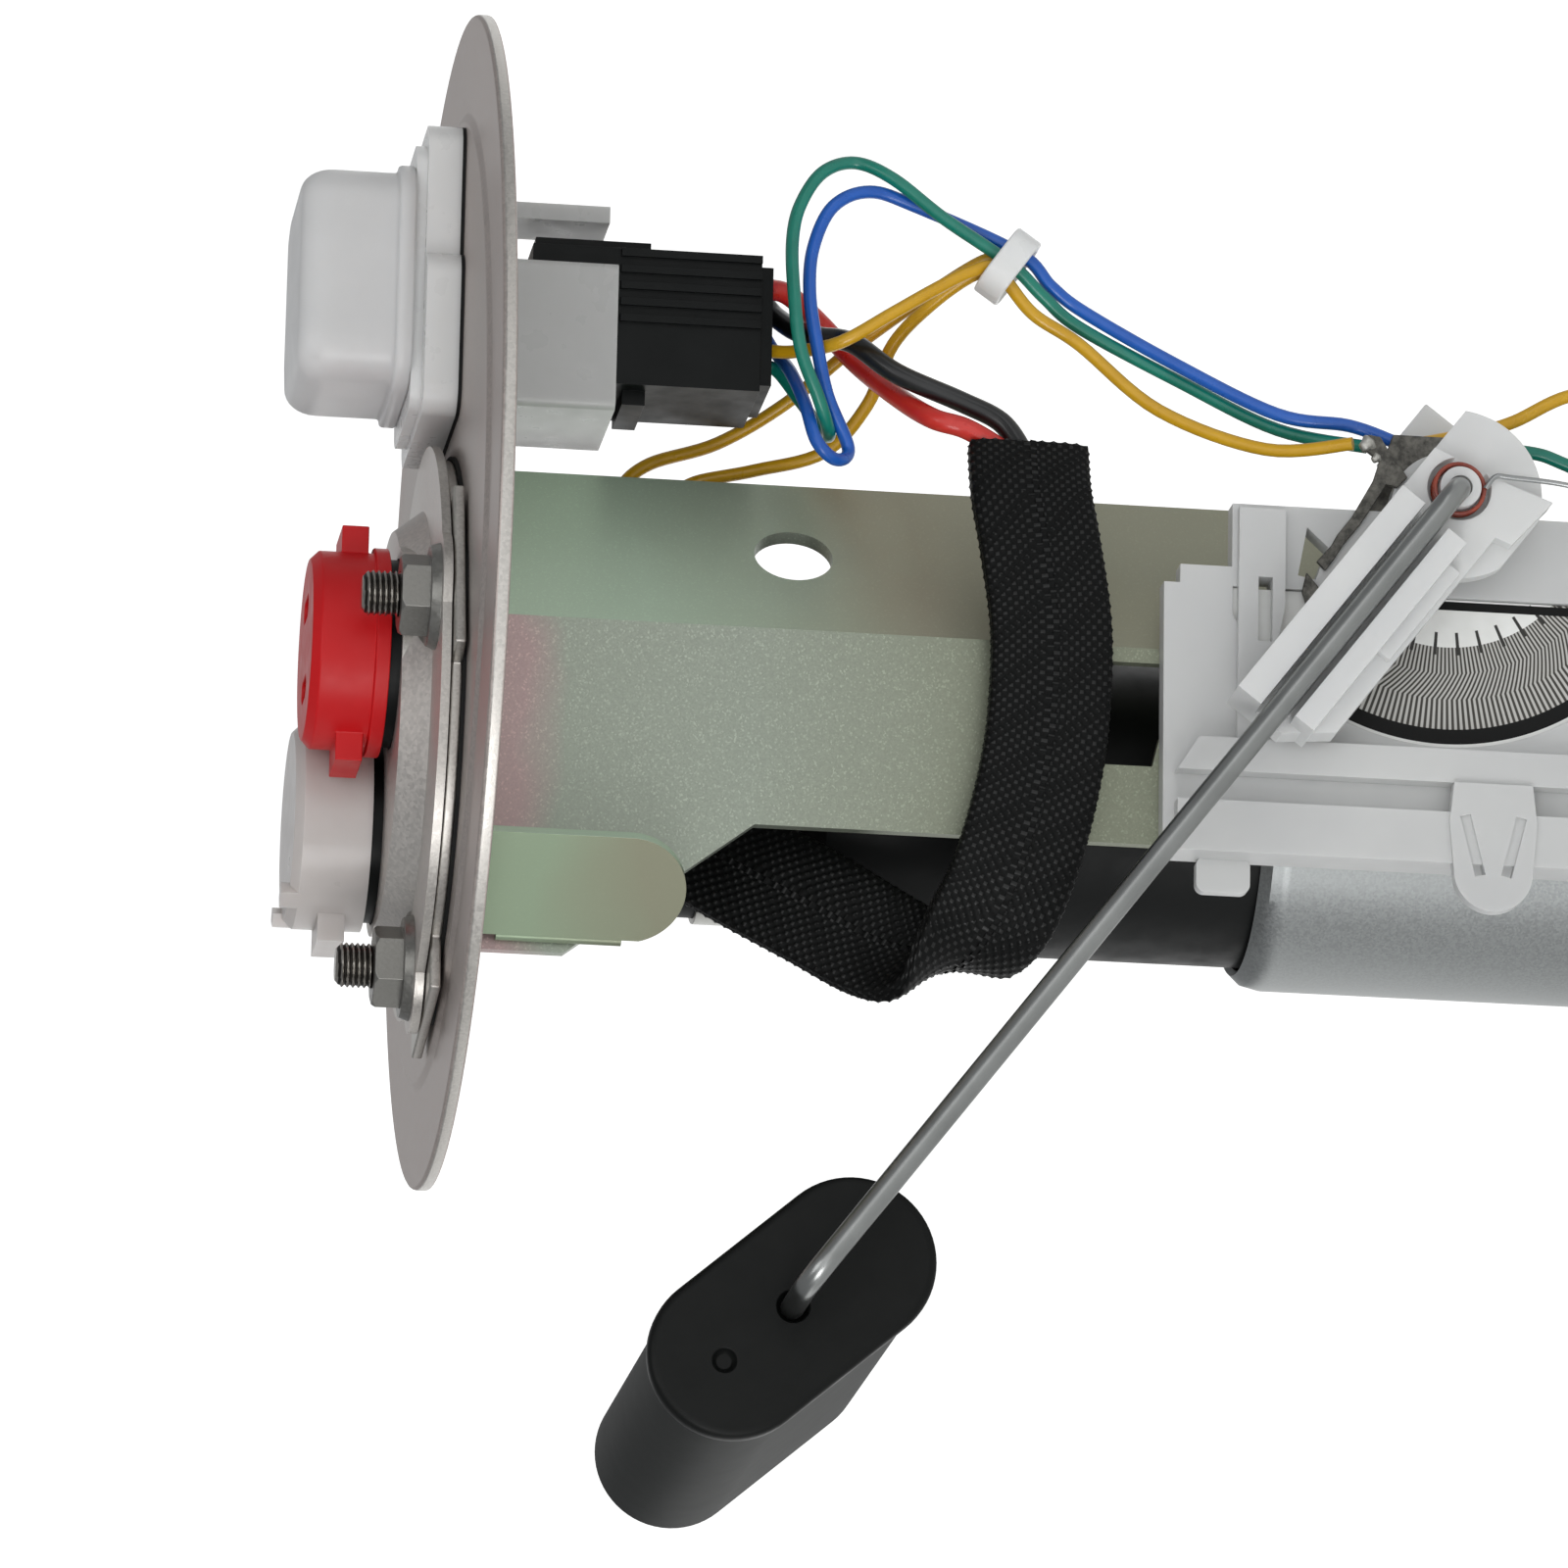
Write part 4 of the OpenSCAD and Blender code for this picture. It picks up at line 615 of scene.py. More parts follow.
def threadedStuds(v):
    verts, faces, roots = [], [], []
    sides, bottom = v["sides"], v["threadFrom"]
    steps = int((v["top"] - bottom) / v["pitch"] * v["perTurn"])
    headFrom, headTo, headRadius = v["head"]
    levels = [(headFrom, headRadius, 0), (headTo, headRadius, 0), (headTo + 0.001, v["radius"], 0),
              (bottom, v["radius"], 0)]
    levels += [(bottom + (v["top"] - bottom) * s / steps, v["radius"], 1) for s in range(1, steps + 1)]
    for x, y in v["places"]:
        base = len(verts)
        for z, radius, threaded in levels:
            for j in range(sides):
                r = radius
                if threaded:
                    phase = (z / v["pitch"] - j / sides) % 1
                    r -= v["depth"] * (0.5 + 0.5 * math.cos(2 * math.pi * phase)) ** v["flank"]
                    r = min(r, radius - v["chamfer"] + (v["top"] - z) * v["chamferSlope"])
                a = 2 * math.pi * j / sides
                verts.append(((x + r * math.cos(a)) * mm, (y + r * math.sin(a)) * mm, z * mm))
        faces += ringQuads(len(levels), sides, base)
        # faces round each root of the thread are painted dark, as painted shade
        for one, two in zip(levels, levels[1:]):
            for j in range(sides):
                phase = ((one[0] + two[0]) / 2 / v["pitch"] - (j + 0.5) / sides) % 1
                roots.append(1 if one[2] and min(phase, 1 - phase) < v["rootShare"] else 0)
        faces.append(tuple(base + j for j in range(sides - 1, -1, -1)))
        faces.append(tuple(base + (len(levels) - 1) * sides + j for j in range(sides)))
        roots += [0, 0]
    mesh = bpy.data.meshes.new("threadedStuds")
    mesh.from_pydata(verts, [], faces)
    shadeByAngle(mesh, 60)
    mesh.materials.append(finishes["studSteel"])
    mesh.materials.append(finishes["threadRoot"])
    mesh.polygons.foreach_set("material_index", roots)
    addPiece("threadedStuds", mesh, "module", ["cover_studs"])


threadedStuds(studValues)
print("flange and ports done")

# Connector

connectorPieces = [
    ("connector_body", "naturalNylon", "natural_nylon", 0.35, 3),
    ("connector_seal", "rubber", "black_rubber", 0),
    ("connector_pins", "contactBrass", "brass", 0.1, 1),
]
for row in connectorPieces:
    roundedCopy(*row)

dustCapValues = {
    "collarHeight": 1.9, "collar": (0.9, 0.7),   # how far the collar stands out, in X and Y
    "corner": 4.6, "round": 3.6, "draw": 2.7,    # corner radius, height and depth of the rounded front
    "wall": 1.65, "roof": 1.6, "dome": 0.5,
    "steps": 8,                                  # of each rounded quarter
}


def dustCap(v):
    # thin moulded cap with a soft rounded front
    low, high = (Vector(c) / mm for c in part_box("connector_dust_cap"))
    centre = (low + high) / 2
    half = ((high.x - low.x) / 2 - v["collar"][0], (high.y - low.y) / 2 - v["collar"][1])
    height = high.z - low.z

    def ring(work, z, out):
        corner = max(v["corner"] + out, 0.4)
        points = []
        for quarter, (sx, sy) in enumerate(((1, 1), (-1, 1), (-1, -1), (1, -1))):
            for k in range(v["steps"] + 1):
                a = math.radians(90 * quarter + 90 * k / v["steps"])
                x = centre.x + sx * (half[0] + out - corner) + corner * math.cos(a)
                y = centre.y + sy * (half[1] + out - corner) + corner * math.sin(a)
                points.append(work.verts.new((x * mm, y * mm, (low.z + z) * mm)))
        return points

    work = bmesh.new()
    rise, soft = v["collarHeight"], v["collar"][0]
    # height and reach of each ring: the collar, the wall, the rounded front and its low dome
    levels = [(0.0, soft - 0.3), (0.3, soft), (rise - 0.4, soft), (rise - 0.1, soft - 0.15), (rise, soft - 0.5),
              (rise, 0.25), (rise + 0.15, 0.06), (rise + 0.4, 0.0), (height - v["round"] - 3, 0.0)]
    top = height - v["dome"]
    for k in range(v["steps"] + 1):
        t = math.pi / 2 * k / v["steps"]
        levels.append((top - v["round"] + v["round"] * math.sin(t), -v["draw"] * (1 - math.cos(t))))
    levels += [(top + v["dome"] * share, -v["draw"] - inward) for share, inward in ((0.45, 2.2), (0.85, 5))]
    levels.append((height, -v["draw"] - 7.5))
    rings = [ring(work, z, out) for z, out in levels]
    roof, wall = height - v["roof"], v["wall"]
    inner = [(0.0, -wall), (roof - 2.4, -wall), (roof - 1.0, -wall - 1.2), (roof - 0.6, -wall - 3.0)]
    hollow = [ring(work, z, out) for z, out in inner]
    for chain in (rings, hollow, [hollow[0], rings[0]]):
        for one, two in zip(chain, chain[1:]):
            bridge(work, one, two)
    work.faces.new(rings[-1])
    work.faces.new(hollow[-1])
    bmesh.ops.recalc_face_normals(work, faces=work.faces)
    mesh = meshFrom(work, "dustCap", "dustCapPlastic", 50)
    addPiece("dustCap", mesh, bodyOf["connector_dust_cap"], ["connector_dust_cap"])


dustCap(dustCapValues)
roundedCopy("harness_plug", "blackNylon", "black_nylon", 0.2)
print("connector done")

# Hanger and pump

pumpPieces = [
    ("bracket", "zincPassivate", "yellow_zinc", 0.2),
    ("locating_lug", "zincLug", "yellow_zinc", 0.2),
    ("ground_tab", "dullTin", "tin_brass", 0.2, 1),
    ("supply_hose", "hoseRubber", "hose_rubber"),
    ("hose_clips", "clampSteel", "spring_steel", 0.15),
    ("outlet_housing", "housingNylon", "black_nylon"),
    ("pump_plug", "blackNylon", "black_nylon"),
    ("pump_can", "satinCan", "can_steel", 0),
    ("inlet_cover", "dieCast", "die_cast", 0.2),
    ("pump_isolator", "rubber", "black_rubber", 0.4),
    ("pump_saddle", "rubber", "black_rubber", 0),
    ("pump_clamp", "clampSteel", "zinc_steel", 0.15),
    ("strainer_frame", "blackNylon", "black_nylon"),
]
for row in pumpPieces:
    roundedCopy(*row)
# the inner pieces keep the shape of their solids
for nodeName, finish in (("check_valve_poppet", "contactBrass"), ("check_valve_spring", "springWire"),
                         ("pump_magnets", "ferrite"), ("pump_rotor", "rotorSteel"), ("pump_brushes", "carbon"),
                         ("brush_springs", "springWire"), ("impeller", "phenolic")):
    for slot in nodes[nodeName].material_slots:
        slot.material = finishes[finish]
print("hanger and pump done")

sockValues = {
    "centre": (-17.3, 3.0, -181.0), "half": (25.6, 14.6), "thick": 3.7,
    "seam": 0.5,                    # mm of the welded edge
    "square": 0.45,                 # below 1 the outline has fuller corners
    "plump": (0.93, 2.6, 0.55),     # share of the width that is plump, and the two powers of its swell
    "wave": 0.06,                   # of the height, three waves round the edge
    "across": 14, "around": 72,
}


def strainerSock(v):
    # two layers of gauze welded round the edge, plump in the middle
    verts, faces = [], []
    across, around = v["across"], v["around"]
    edge, rise, swell = v["plump"]
    for side in (1, -1):
        for i in range(across + 1):
            f = i / across
            for j in range(around):
                a = 2 * math.pi * j / around
                c, s = math.cos(a), math.sin(a)
                x = math.copysign(abs(c) ** v["square"], c) * v["half"][0] * f
                y = math.copysign(abs(s) ** v["square"], s) * v["half"][1] * f
                inner = max(0.0, 1 - (f / edge) ** rise)
                z = side * (v["seam"] * 0.5 + (v["thick"] - v["seam"] * 0.5) * inner ** swell)
                z *= 1 - v["wave"] * math.cos(3 * a) * f
                verts.append(tuple((v["centre"][i] + (x, y, z)[i]) * mm for i in range(3)))
    half = (across + 1) * around
    for side in (0, 1):
        for i in range(across):
            for j in range(around):
                k = (j + 1) % around
                quad = (side * half + i * around + j, side * half + (i + 1) * around + j,
                        side * half + (i + 1) * around + k, side * half + i * around + k)
                faces.append(quad if side == 0 else quad[::-1])
    for j in range(around):
        k = (j + 1) % around
        a, b = across * around + j, across * around + k
        faces.append((a, a + half, b + half, b))
    mesh = bpy.data.meshes.new("strainerGauze")
    mesh.from_pydata(verts, [], faces)
    work = bmesh.new()
    work.from_mesh(mesh)
    bmesh.ops.remove_doubles(work, verts=work.verts, dist=1e-6)
    bmesh.ops.recalc_face_normals(work, faces=work.faces)
    work.to_mesh(mesh)
    work.free()
    shadeByAngle(mesh, 50)
    mesh.materials.append(finishes["meshCloth"])
    piece = addPiece("strainerGauze", mesh, "module", ["strainer_sock"])


strainerSock(sockValues)

# Level sender

senderPieces = [
    ("sender_base", "acetal", "white_acetal", 0.25),
    ("resistor_card", "printedCard", "ceramic", 0),
    ("arm_carrier", "acetalArm", "white_acetal", 0.25),
    ("arm_retainer", "acetalArm", "white_acetal", 0.25),
    ("wiper", "contactBrass", "brass", 0),
    ("float_arm", "armWire", "stainless", 0),
    ("float_clip", "clampSteel", "spring_steel", 0.1),
    ("level_thermistor", "dullTin", "tin_brass", 0.2),
    ("harness_clip", "clipNylon", "white_acetal", 0.35, 3),
]
for row in senderPieces:
    roundedCopy(*row)

terminalValues = {
    "front": [
        [(16.2, -98.0), (17.6, -98.9), (17.4, -100.3), (15.6, -101.4), (12.9, -103.4), (11.6, -102.2),
         (11.9, -101.0), (9.2, -99.4), (7.0, -98.0), (4.7, -96.2), (3.0, -95.2), (1.6, -94.2), (2.6, -93.2),
         (4.6, -94.9), (5.8, -95.5), (7.9, -97.1), (12.3, -99.5), (14.6, -100.2), (15.3, -99.2)],
        [(1.3, -92.1), (-0.5, -93.6), (-2.5, -92.1), (-1.0, -91.6)],
    ],
    "back": [[(18.8, -102.4), (18.8, -108.8), (8, -101.8), (2, -101.8), (2, -98.4), (8, -98.4)]],
    "frontThick": 0.5, "backThick": 0.6, "corner": 0.09,
    "blobs": [((16.5, -98.9), 0.95, 0.75), ((15.0, -99.9), 0.6, 0.5)],   # place, radius and height of the solder
    "lumps": (0.12, 0.08), "sunk": 0.3,   # unevenness of the blobs, mm by which their middle lies in the strip
}


def terminalStrips(v):
    # stamped strips dipped in tin, a crimp with a blob of solder at the lead
    low, high = (c.y / mm for c in (Vector(p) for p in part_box("sender_terminals")))
    work = bmesh.new()
    plates = [(points, low, v["frontThick"]) for points in v["front"]]
    plates += [(points, high - v["backThick"], v["backThick"]) for points in v["back"]]
    for points, y, thick in plates:
        rings = [[work.verts.new((x * mm, (y + d) * mm, z * mm)) for x, z in points] for d in (0, thick)]
        bridge(work, *rings)
        work.faces.new(rings[0][::-1])
        work.faces.new(rings[1])
    bmesh.ops.recalc_face_normals(work, faces=work.faces)
    bmesh.ops.bevel(work, geom=list(work.edges), offset=v["corner"] * mm, offset_type="OFFSET", segments=1,
                    profile=0.5, affect="EDGES", clamp_overlap=True)
    mesh = meshFrom(work, "terminalStrips", "dippedTin")
    addPiece("terminalStrips", mesh, "module", ["sender_terminals"])
    work = bmesh.new()
    for (x, z), radius, height in v["blobs"]:
        made = bmesh.ops.create_uvsphere(work, u_segments=20, v_segments=12, radius=1)["verts"]
        for vert in made:
            a = math.atan2(vert.co.z, vert.co.x)
            lump = 1 + v["lumps"][0] * math.sin(3 * a + 1) + v["lumps"][1] * math.sin(5 * a)
            vert.co = Vector(((x + vert.co.x * radius * lump) * mm, (low + v["sunk"] + vert.co.y * height) * mm,
                              (z + vert.co.z * radius * lump) * mm))
    mesh = meshFrom(work, "solderBlobs", "solder", 80)
    addPiece("solderBlobs", mesh, "module", ["sender_terminals"])


terminalStrips(terminalValues)

floatValues = {
    "pivot": (9.8, -107.9), "armLength": 117.8, "armAngle": 37.2,
    "turn": 12.2,          # degrees the float is turned on its wire
    "long": 35.6, "wide": 18.6,
    "front": -26.0, "back": 34.0,
    "lid": 2.3,            # depth of the denser skin at the front
    "inset": 0.7,          # step between the lid and the body
    "hole": 1.95, "holeDeep": 1.2,
    "dimple": 1.5, "dimpleDeep": 0.8, "dimpleAt": 9.7,
    "endSteps": 32, "holeSides": 24,
}


def foamFloat(v):
    # pressed foam block with round ends, its front face a dark lid with rolled corners
    a = math.radians(180 - v["armAngle"])
    centre = Vector((v["pivot"][0] + v["armLength"] * math.cos(a), 0, v["pivot"][1] + v["armLength"] * math.sin(a)))
    a -= math.radians(v["turn"])
    longWay = Vector((math.cos(a), 0, math.sin(a)))
    wideWay = Vector((-math.sin(a), 0, math.cos(a)))

    def outline(inset):
        r = v["wide"] / 2 - inset
        half = (v["long"] - v["wide"]) / 2
        points = []
        for end in (1, -1):
            for k in range(v["endSteps"] + 1):
                t = math.radians(-90 + 180 * k / v["endSteps"])
                points.append((end * (half + r * math.cos(t)), end * r * math.sin(t)))
        return points

    def place(x, z, y):
        return (centre + longWay * x + wideWay * z + Vector((0, y, 0))) * mm

    def rim(work, loop):
        return [work.edges.get((loop[k], loop[(k + 1) % len(loop)])) for k in range(len(loop))]

    def block(name, profile, finish, holes):
        work = bmesh.new()
        rings = [[work.verts.new(place(x, z, y)) for x, z in outline(inset)] for inset, y in profile]
        for one, two in zip(rings, rings[1:]):
            bridge(work, one, two)
        work.faces.new(rings[-1])
        edges = rim(work, rings[0])
        y = profile[0][1]
        turns = [2 * math.pi * k / v["holeSides"] for k in range(v["holeSides"])]
        for x, radius, deep in holes:
            steps = ((radius, 0.0), (radius - 0.15, 0.12), (radius - 0.3, deep * 0.6), (radius * 0.55, deep),
                     (0.05, deep))
            loops = [[work.verts.new(place(x + r * math.cos(t), r * math.sin(t), y + d)) for t in turns]
                     for r, d in steps]
            for one, two in zip(loops, loops[1:]):
                bridge(work, one, two)
            work.faces.new(loops[-1])
            edges += rim(work, loops[0])
        if holes:
            bmesh.ops.triangle_fill(work, use_beauty=True, use_dissolve=False, edges=edges)
        else:
            work.faces.new(rings[0][::-1])
        bmesh.ops.recalc_face_normals(work, faces=work.faces)
        addPiece(name, meshFrom(work, name, finish, 40, True), "float_body", ["float"])

    # how far each ring is set in, and its Y
    front, back, lid, inset = v["front"], v["back"], v["lid"], v["inset"]
    lidProfile = [(1.1, front), (0.62, front + 0.09), (0.25, front + 0.32), (0.06, front + 0.7), (0, front + 1.1),
                  (0, front + lid - 0.35), (0.12, front + lid - 0.1), (0.4, front + lid), (1.6, front + lid)]
    bodyProfile = [(inset, front + lid - 0.2), (inset, front + 12), (inset, back - 14), (inset, back - 1.6),
                   (inset + 0.2, back - 0.8), (inset + 0.7, back - 0.22), (inset + 1.5, back)]
    block("floatLid", lidProfile, "floatSkin", [(0, v["hole"], v["holeDeep"]),
                                                (v["dimpleAt"], v["dimple"], v["dimpleDeep"])])
    block("floatBlock", bodyProfile, "floatFoam", [])


foamFloat(floatValues)

springValues = {
    "centre": (9.8, -107.9), "radius": 2.8, "wire": 0.24,
    "from": -32.9, "rise": 0.86, "turns": 2.6, "start": -1.4,   # Y of its end, mm a turn, turns, angle of its end
    "legWire": 0.3,
    "leg": [(9.8, -35.2, -110.7), (11.2, -35.3, -111.8), (11.2, -35.3, -113.6), (10.6, -35.3, -120.4),
            (8.6, -35.3, -126.4)],
}


def pivotSpring(v):
    path = []
    steps = int(v["turns"] * 36)
    for i in range(steps + 1):
        a = 2 * math.pi * v["turns"] * i / steps + v["start"]
        y = v["from"] - v["rise"] * v["turns"] * i / steps
        path.append(Vector((v["centre"][0] + v["radius"] * math.cos(a), y,
                            v["centre"][1] + v["radius"] * math.sin(a))))
    coil = tubeMesh("pivotCoil", path, v["wire"], 12, "enamelCopper")
    addPiece("pivotCoil", coil, "lever", ["pivot_spring"])
    leg = tubeMesh("pivotLeg", smoothPath(v["leg"], 10), v["legWire"], 12, "springWire")
    addPiece("pivotLeg", leg, "lever")


pivotSpring(springValues)
print("sender done")

# Leads: the routes of the solids, drawn finer

routes = {
    "redIn": [(34.9, -13, -31.2), (34.9, -13, -33.2), (34.6, -12, -35.6), (32.2, -8.8, -39.8),
        (27.8, -9.8, -43.6), (22, -16.6, -47.6), (18.4, -21.4, -50.8), (17.2, -22.2, -54.4)],
    "redOut": [(-29.6, -9.8, -20.6), (-22, -8, -16.2), (-15, -2.5, -14), (-13, 3.5, -15.5), (-13.2, 6.5, -19.5),
        (-13.2, 6.5, -25)],
    "blackIn": [(34.9, -7, -31.2), (34.9, -7, -33.2), (33.4, -7.6, -34.6), (30.9, -10.8, -36.6),
        (29.1, -14.8, -38.8), (27.9, -17.2, -42.2), (24, -19.4, -46.9), (20.8, -20.6, -54),
        (18.4, -21.6, -58.4)],
    "blackOut": [(-27.2, -9.9, -22.3), (-19.5, -8.6, -19.8), (-12.6, -3.2, -17.6), (-9.8, 3, -18),
        (-9.8, 6.5, -21), (-9.8, 6.5, -25)],
    "green": [(27.7, -7, -31.2), (27.7, -7, -33.2), (27.2, -7, -35), (23.5, -8.5, -37.4), (19.6, -12, -39.2),
        (17.4, -15.5, -39.8), (17.3, -18.8, -39.4), (20, -21.6, -37.9), (24.9, -23.4, -35.6),
        (31.7, -23.2, -34.7), (38, -21.6, -34.6), (42.8, -20, -35.6), (47.2, -18.6, -38.2), (48.9, -17.6, -42),
        (46.9, -18.8, -46.2), (42.3, -19.7, -51.9), (37.5, -19.7, -59.4), (34.1, -18.6, -63.5),
        (31.2, -17.2, -67.8), (25.6, -17.4, -79), (19.9, -19.6, -90), (17.5, -22.8, -99.6)],
    "blue": [(31.3, -7, -31.2), (31.3, -7, -33.2), (29.6, -6.8, -34.6), (25.6, -12.5, -35.8), (20, -18.6, -36.8),
        (15.2, -20.8, -37.9), (13.6, -19.4, -40.3), (15.6, -17.4, -41.9), (21, -19.3, -39.2),
        (26.6, -20.6, -37.7), (32.4, -20.6, -36.8), (38, -19.8, -37.2), (43.1, -19.2, -39.4),
        (45.4, -18.2, -43.6), (44.2, -17.6, -49), (39.1, -18.6, -60.6), (35.6, -18, -64.4), (33, -17.2, -68.4),
        (26.9, -19, -78.7), (21.2, -21.2, -89.7), (20, -22.4, -97.6), (18.4, -22.8, -102.4)],
    "yellow": [(27.7, -13, -31.2), (27.7, -13, -33.2), (27.2, -15, -36), (27, -20.2, -40.4),
        (30.5, -21.2, -46.2), (33.7, -20.8, -51), (36.06, -20.3, -54.94), (36.57, -19.9, -57.87),
        (32, -19.2, -62.1), (28.8, -18.6, -67.6), (21.4, -19.4, -76.6), (16.7, -22.4, -88.2),
        (16.8, -26.2, -97.4)],
    "groundA": [(4.89, -10.58, -18.5), (9.6, -6.6, -18.4), (14, -1.5, -18.2), (17.4, -0.5, -21.5),
        (20.4, 0, -29.2), (24.8, -2.6, -36.6), (30.6, -7, -43.8), (35.6, -12.6, -51.4), (38.3, -17.6, -56.8),
        (37.9, -17.8, -58.6)],
    "groundB": [(4.89, -10.58, -25.5), (9.6, -6.6, -25.2), (13.4, -2.6, -24.9), (15.4, -1.2, -26.8),
        (16.6, -3, -33.2), (18.3, -6, -40.6), (23.6, -8, -45.2), (30, -10.6, -47.6), (34, -14.6, -51.6),
        (36.7, -17.4, -55.8), (36.4, -17.9, -57.6)],
    "thermistorA": [(18.2, -22.6, -105.2), (20.6, -20.6, -112.5), (22.3, -20, -116.9), (25.6, -20, -123),
        (27.4, -19, -131), (24, -20, -139), (17, -24, -145.6), (11.4, -26.2, -148.6), (8.42, -22.24, -149.2)],
    "thermistorB": [(16.6, -22.6, -107.4), (18.6, -20.4, -113.6), (18.7, -20, -119.1), (17.5, -20, -123),
        (14, -20, -132), (14.6, -22.6, -141), (14.9, -25, -147.4), (13, -24, -150.4), (10.48, -20.66, -150.8)],
    "sleeve": [(15, -22.6, -61.4), (9.2, -25.4, -61.4), (2.6, -27, -62.3), (-7, -27.9, -63.5),
        (-16.8, -28.3, -63.3), (-24.6, -28.3, -62.3), (-32.6, -28, -60.4), (-38.6, -26.6, -58.2),
        (-42.4, -23.8, -55.2), (-43.4, -20.6, -51.6), (-41.4, -18, -46.6), (-37.1, -15.6, -39.8),
        (-32, -12.6, -31.5), (-28.6, -10.9, -26.4)],
    "sleeveWide": [(0, 0, -1), (0, 0, -1), (-0.04, 0, -1), (0, 0, -1), (0, 0, -1), (0, 0, -1), (0, 0, -1),
        (-0.05, 0, -1), (0.1, 0.1, -1), (0.35, 0.12, -0.92), (0.65, 0.03, -0.76), (0.83, 0, -0.56),
        (0.83, -0.05, -0.56), (0.83, -0.05, -0.56)],
}


def besideSleeve(offset):
    # a line that keeps its place in the width of the sleeve all the way
    line = smoothPath(routes["sleeve"], 4)
    wide = smoothPath(routes["sleeveWide"], 4)
    out = []
    for i, p in enumerate(line):
        tangent = (line[min(i + 1, len(line) - 1)] - line[max(i - 1, 0)]).normalized()
        out.append(tuple(p + (wide[i] - tangent * wide[i].dot(tangent)).normalized() * offset))
    return out


besideValues = {"red": -3.3, "black": -0.8}   # mm from the sleeve's middle line
thick, thin = 1.2, 0.75                       # radii of the pump leads and the signal leads
leadValues = [
    ("redLead", routes["redIn"] + besideSleeve(besideValues["red"]) + routes["redOut"], thick, "redPvc", "red_pvc",
     "red_lead"),
    ("blackLead", routes["blackIn"] + besideSleeve(besideValues["black"]) + routes["blackOut"], thick, "blackPvc",
     "black_pvc", "black_lead"),
    ("greenLead", routes["green"], thin, "greenPvc", "green_pvc", "green_lead"),
    ("blueLead", routes["blue"], thin, "bluePvc", "blue_pvc", "blue_lead"),
    ("yellowLead", routes["yellow"], thin, "yellowPvc", "yellow_pvc", "yellow_lead"),
    ("groundLeadA", routes["groundA"], thin, "yellowPvc", "yellow_pvc", "ground_leads"),
    ("groundLeadB", routes["groundB"], thin, "yellowPvc", "yellow_pvc", "ground_leads"),
    ("thermistorLeadA", routes["thermistorA"], thin, "yellowPvc", "yellow_pvc", "thermistor_leads"),
    ("thermistorLeadB", routes["thermistorB"], thin, "greenPvc", "green_pvc", "thermistor_leads"),
]
for pieceName, points, radius, finish, slotName, nodeName in leadValues:
    mesh = tubeMesh(pieceName, smoothPath(points, 8), radius, 16, finish)
    addPiece(pieceName, mesh, bodyOf[nodeName], [nodeName])
print("leads drawn:", len(leadValues))

sleeveValues = {
    "width": 13.6, "thick": 3.4, "wall": 0.3,
    "square": 0.42,                  # below 1 the section is fuller towards its edges
    "pebble": 0.24,                  # mm by which a crossing stands up
    "columns": 24, "row": 1.19,      # crossings round the sleeve, mm from row to row
    "fine": 6,                       # faces from crossing to crossing
    "knotFrom": 0.7,                 # height above which the top of a crossing takes the painted sheen
    "samples": 1440, "pathSteps": 60,
}


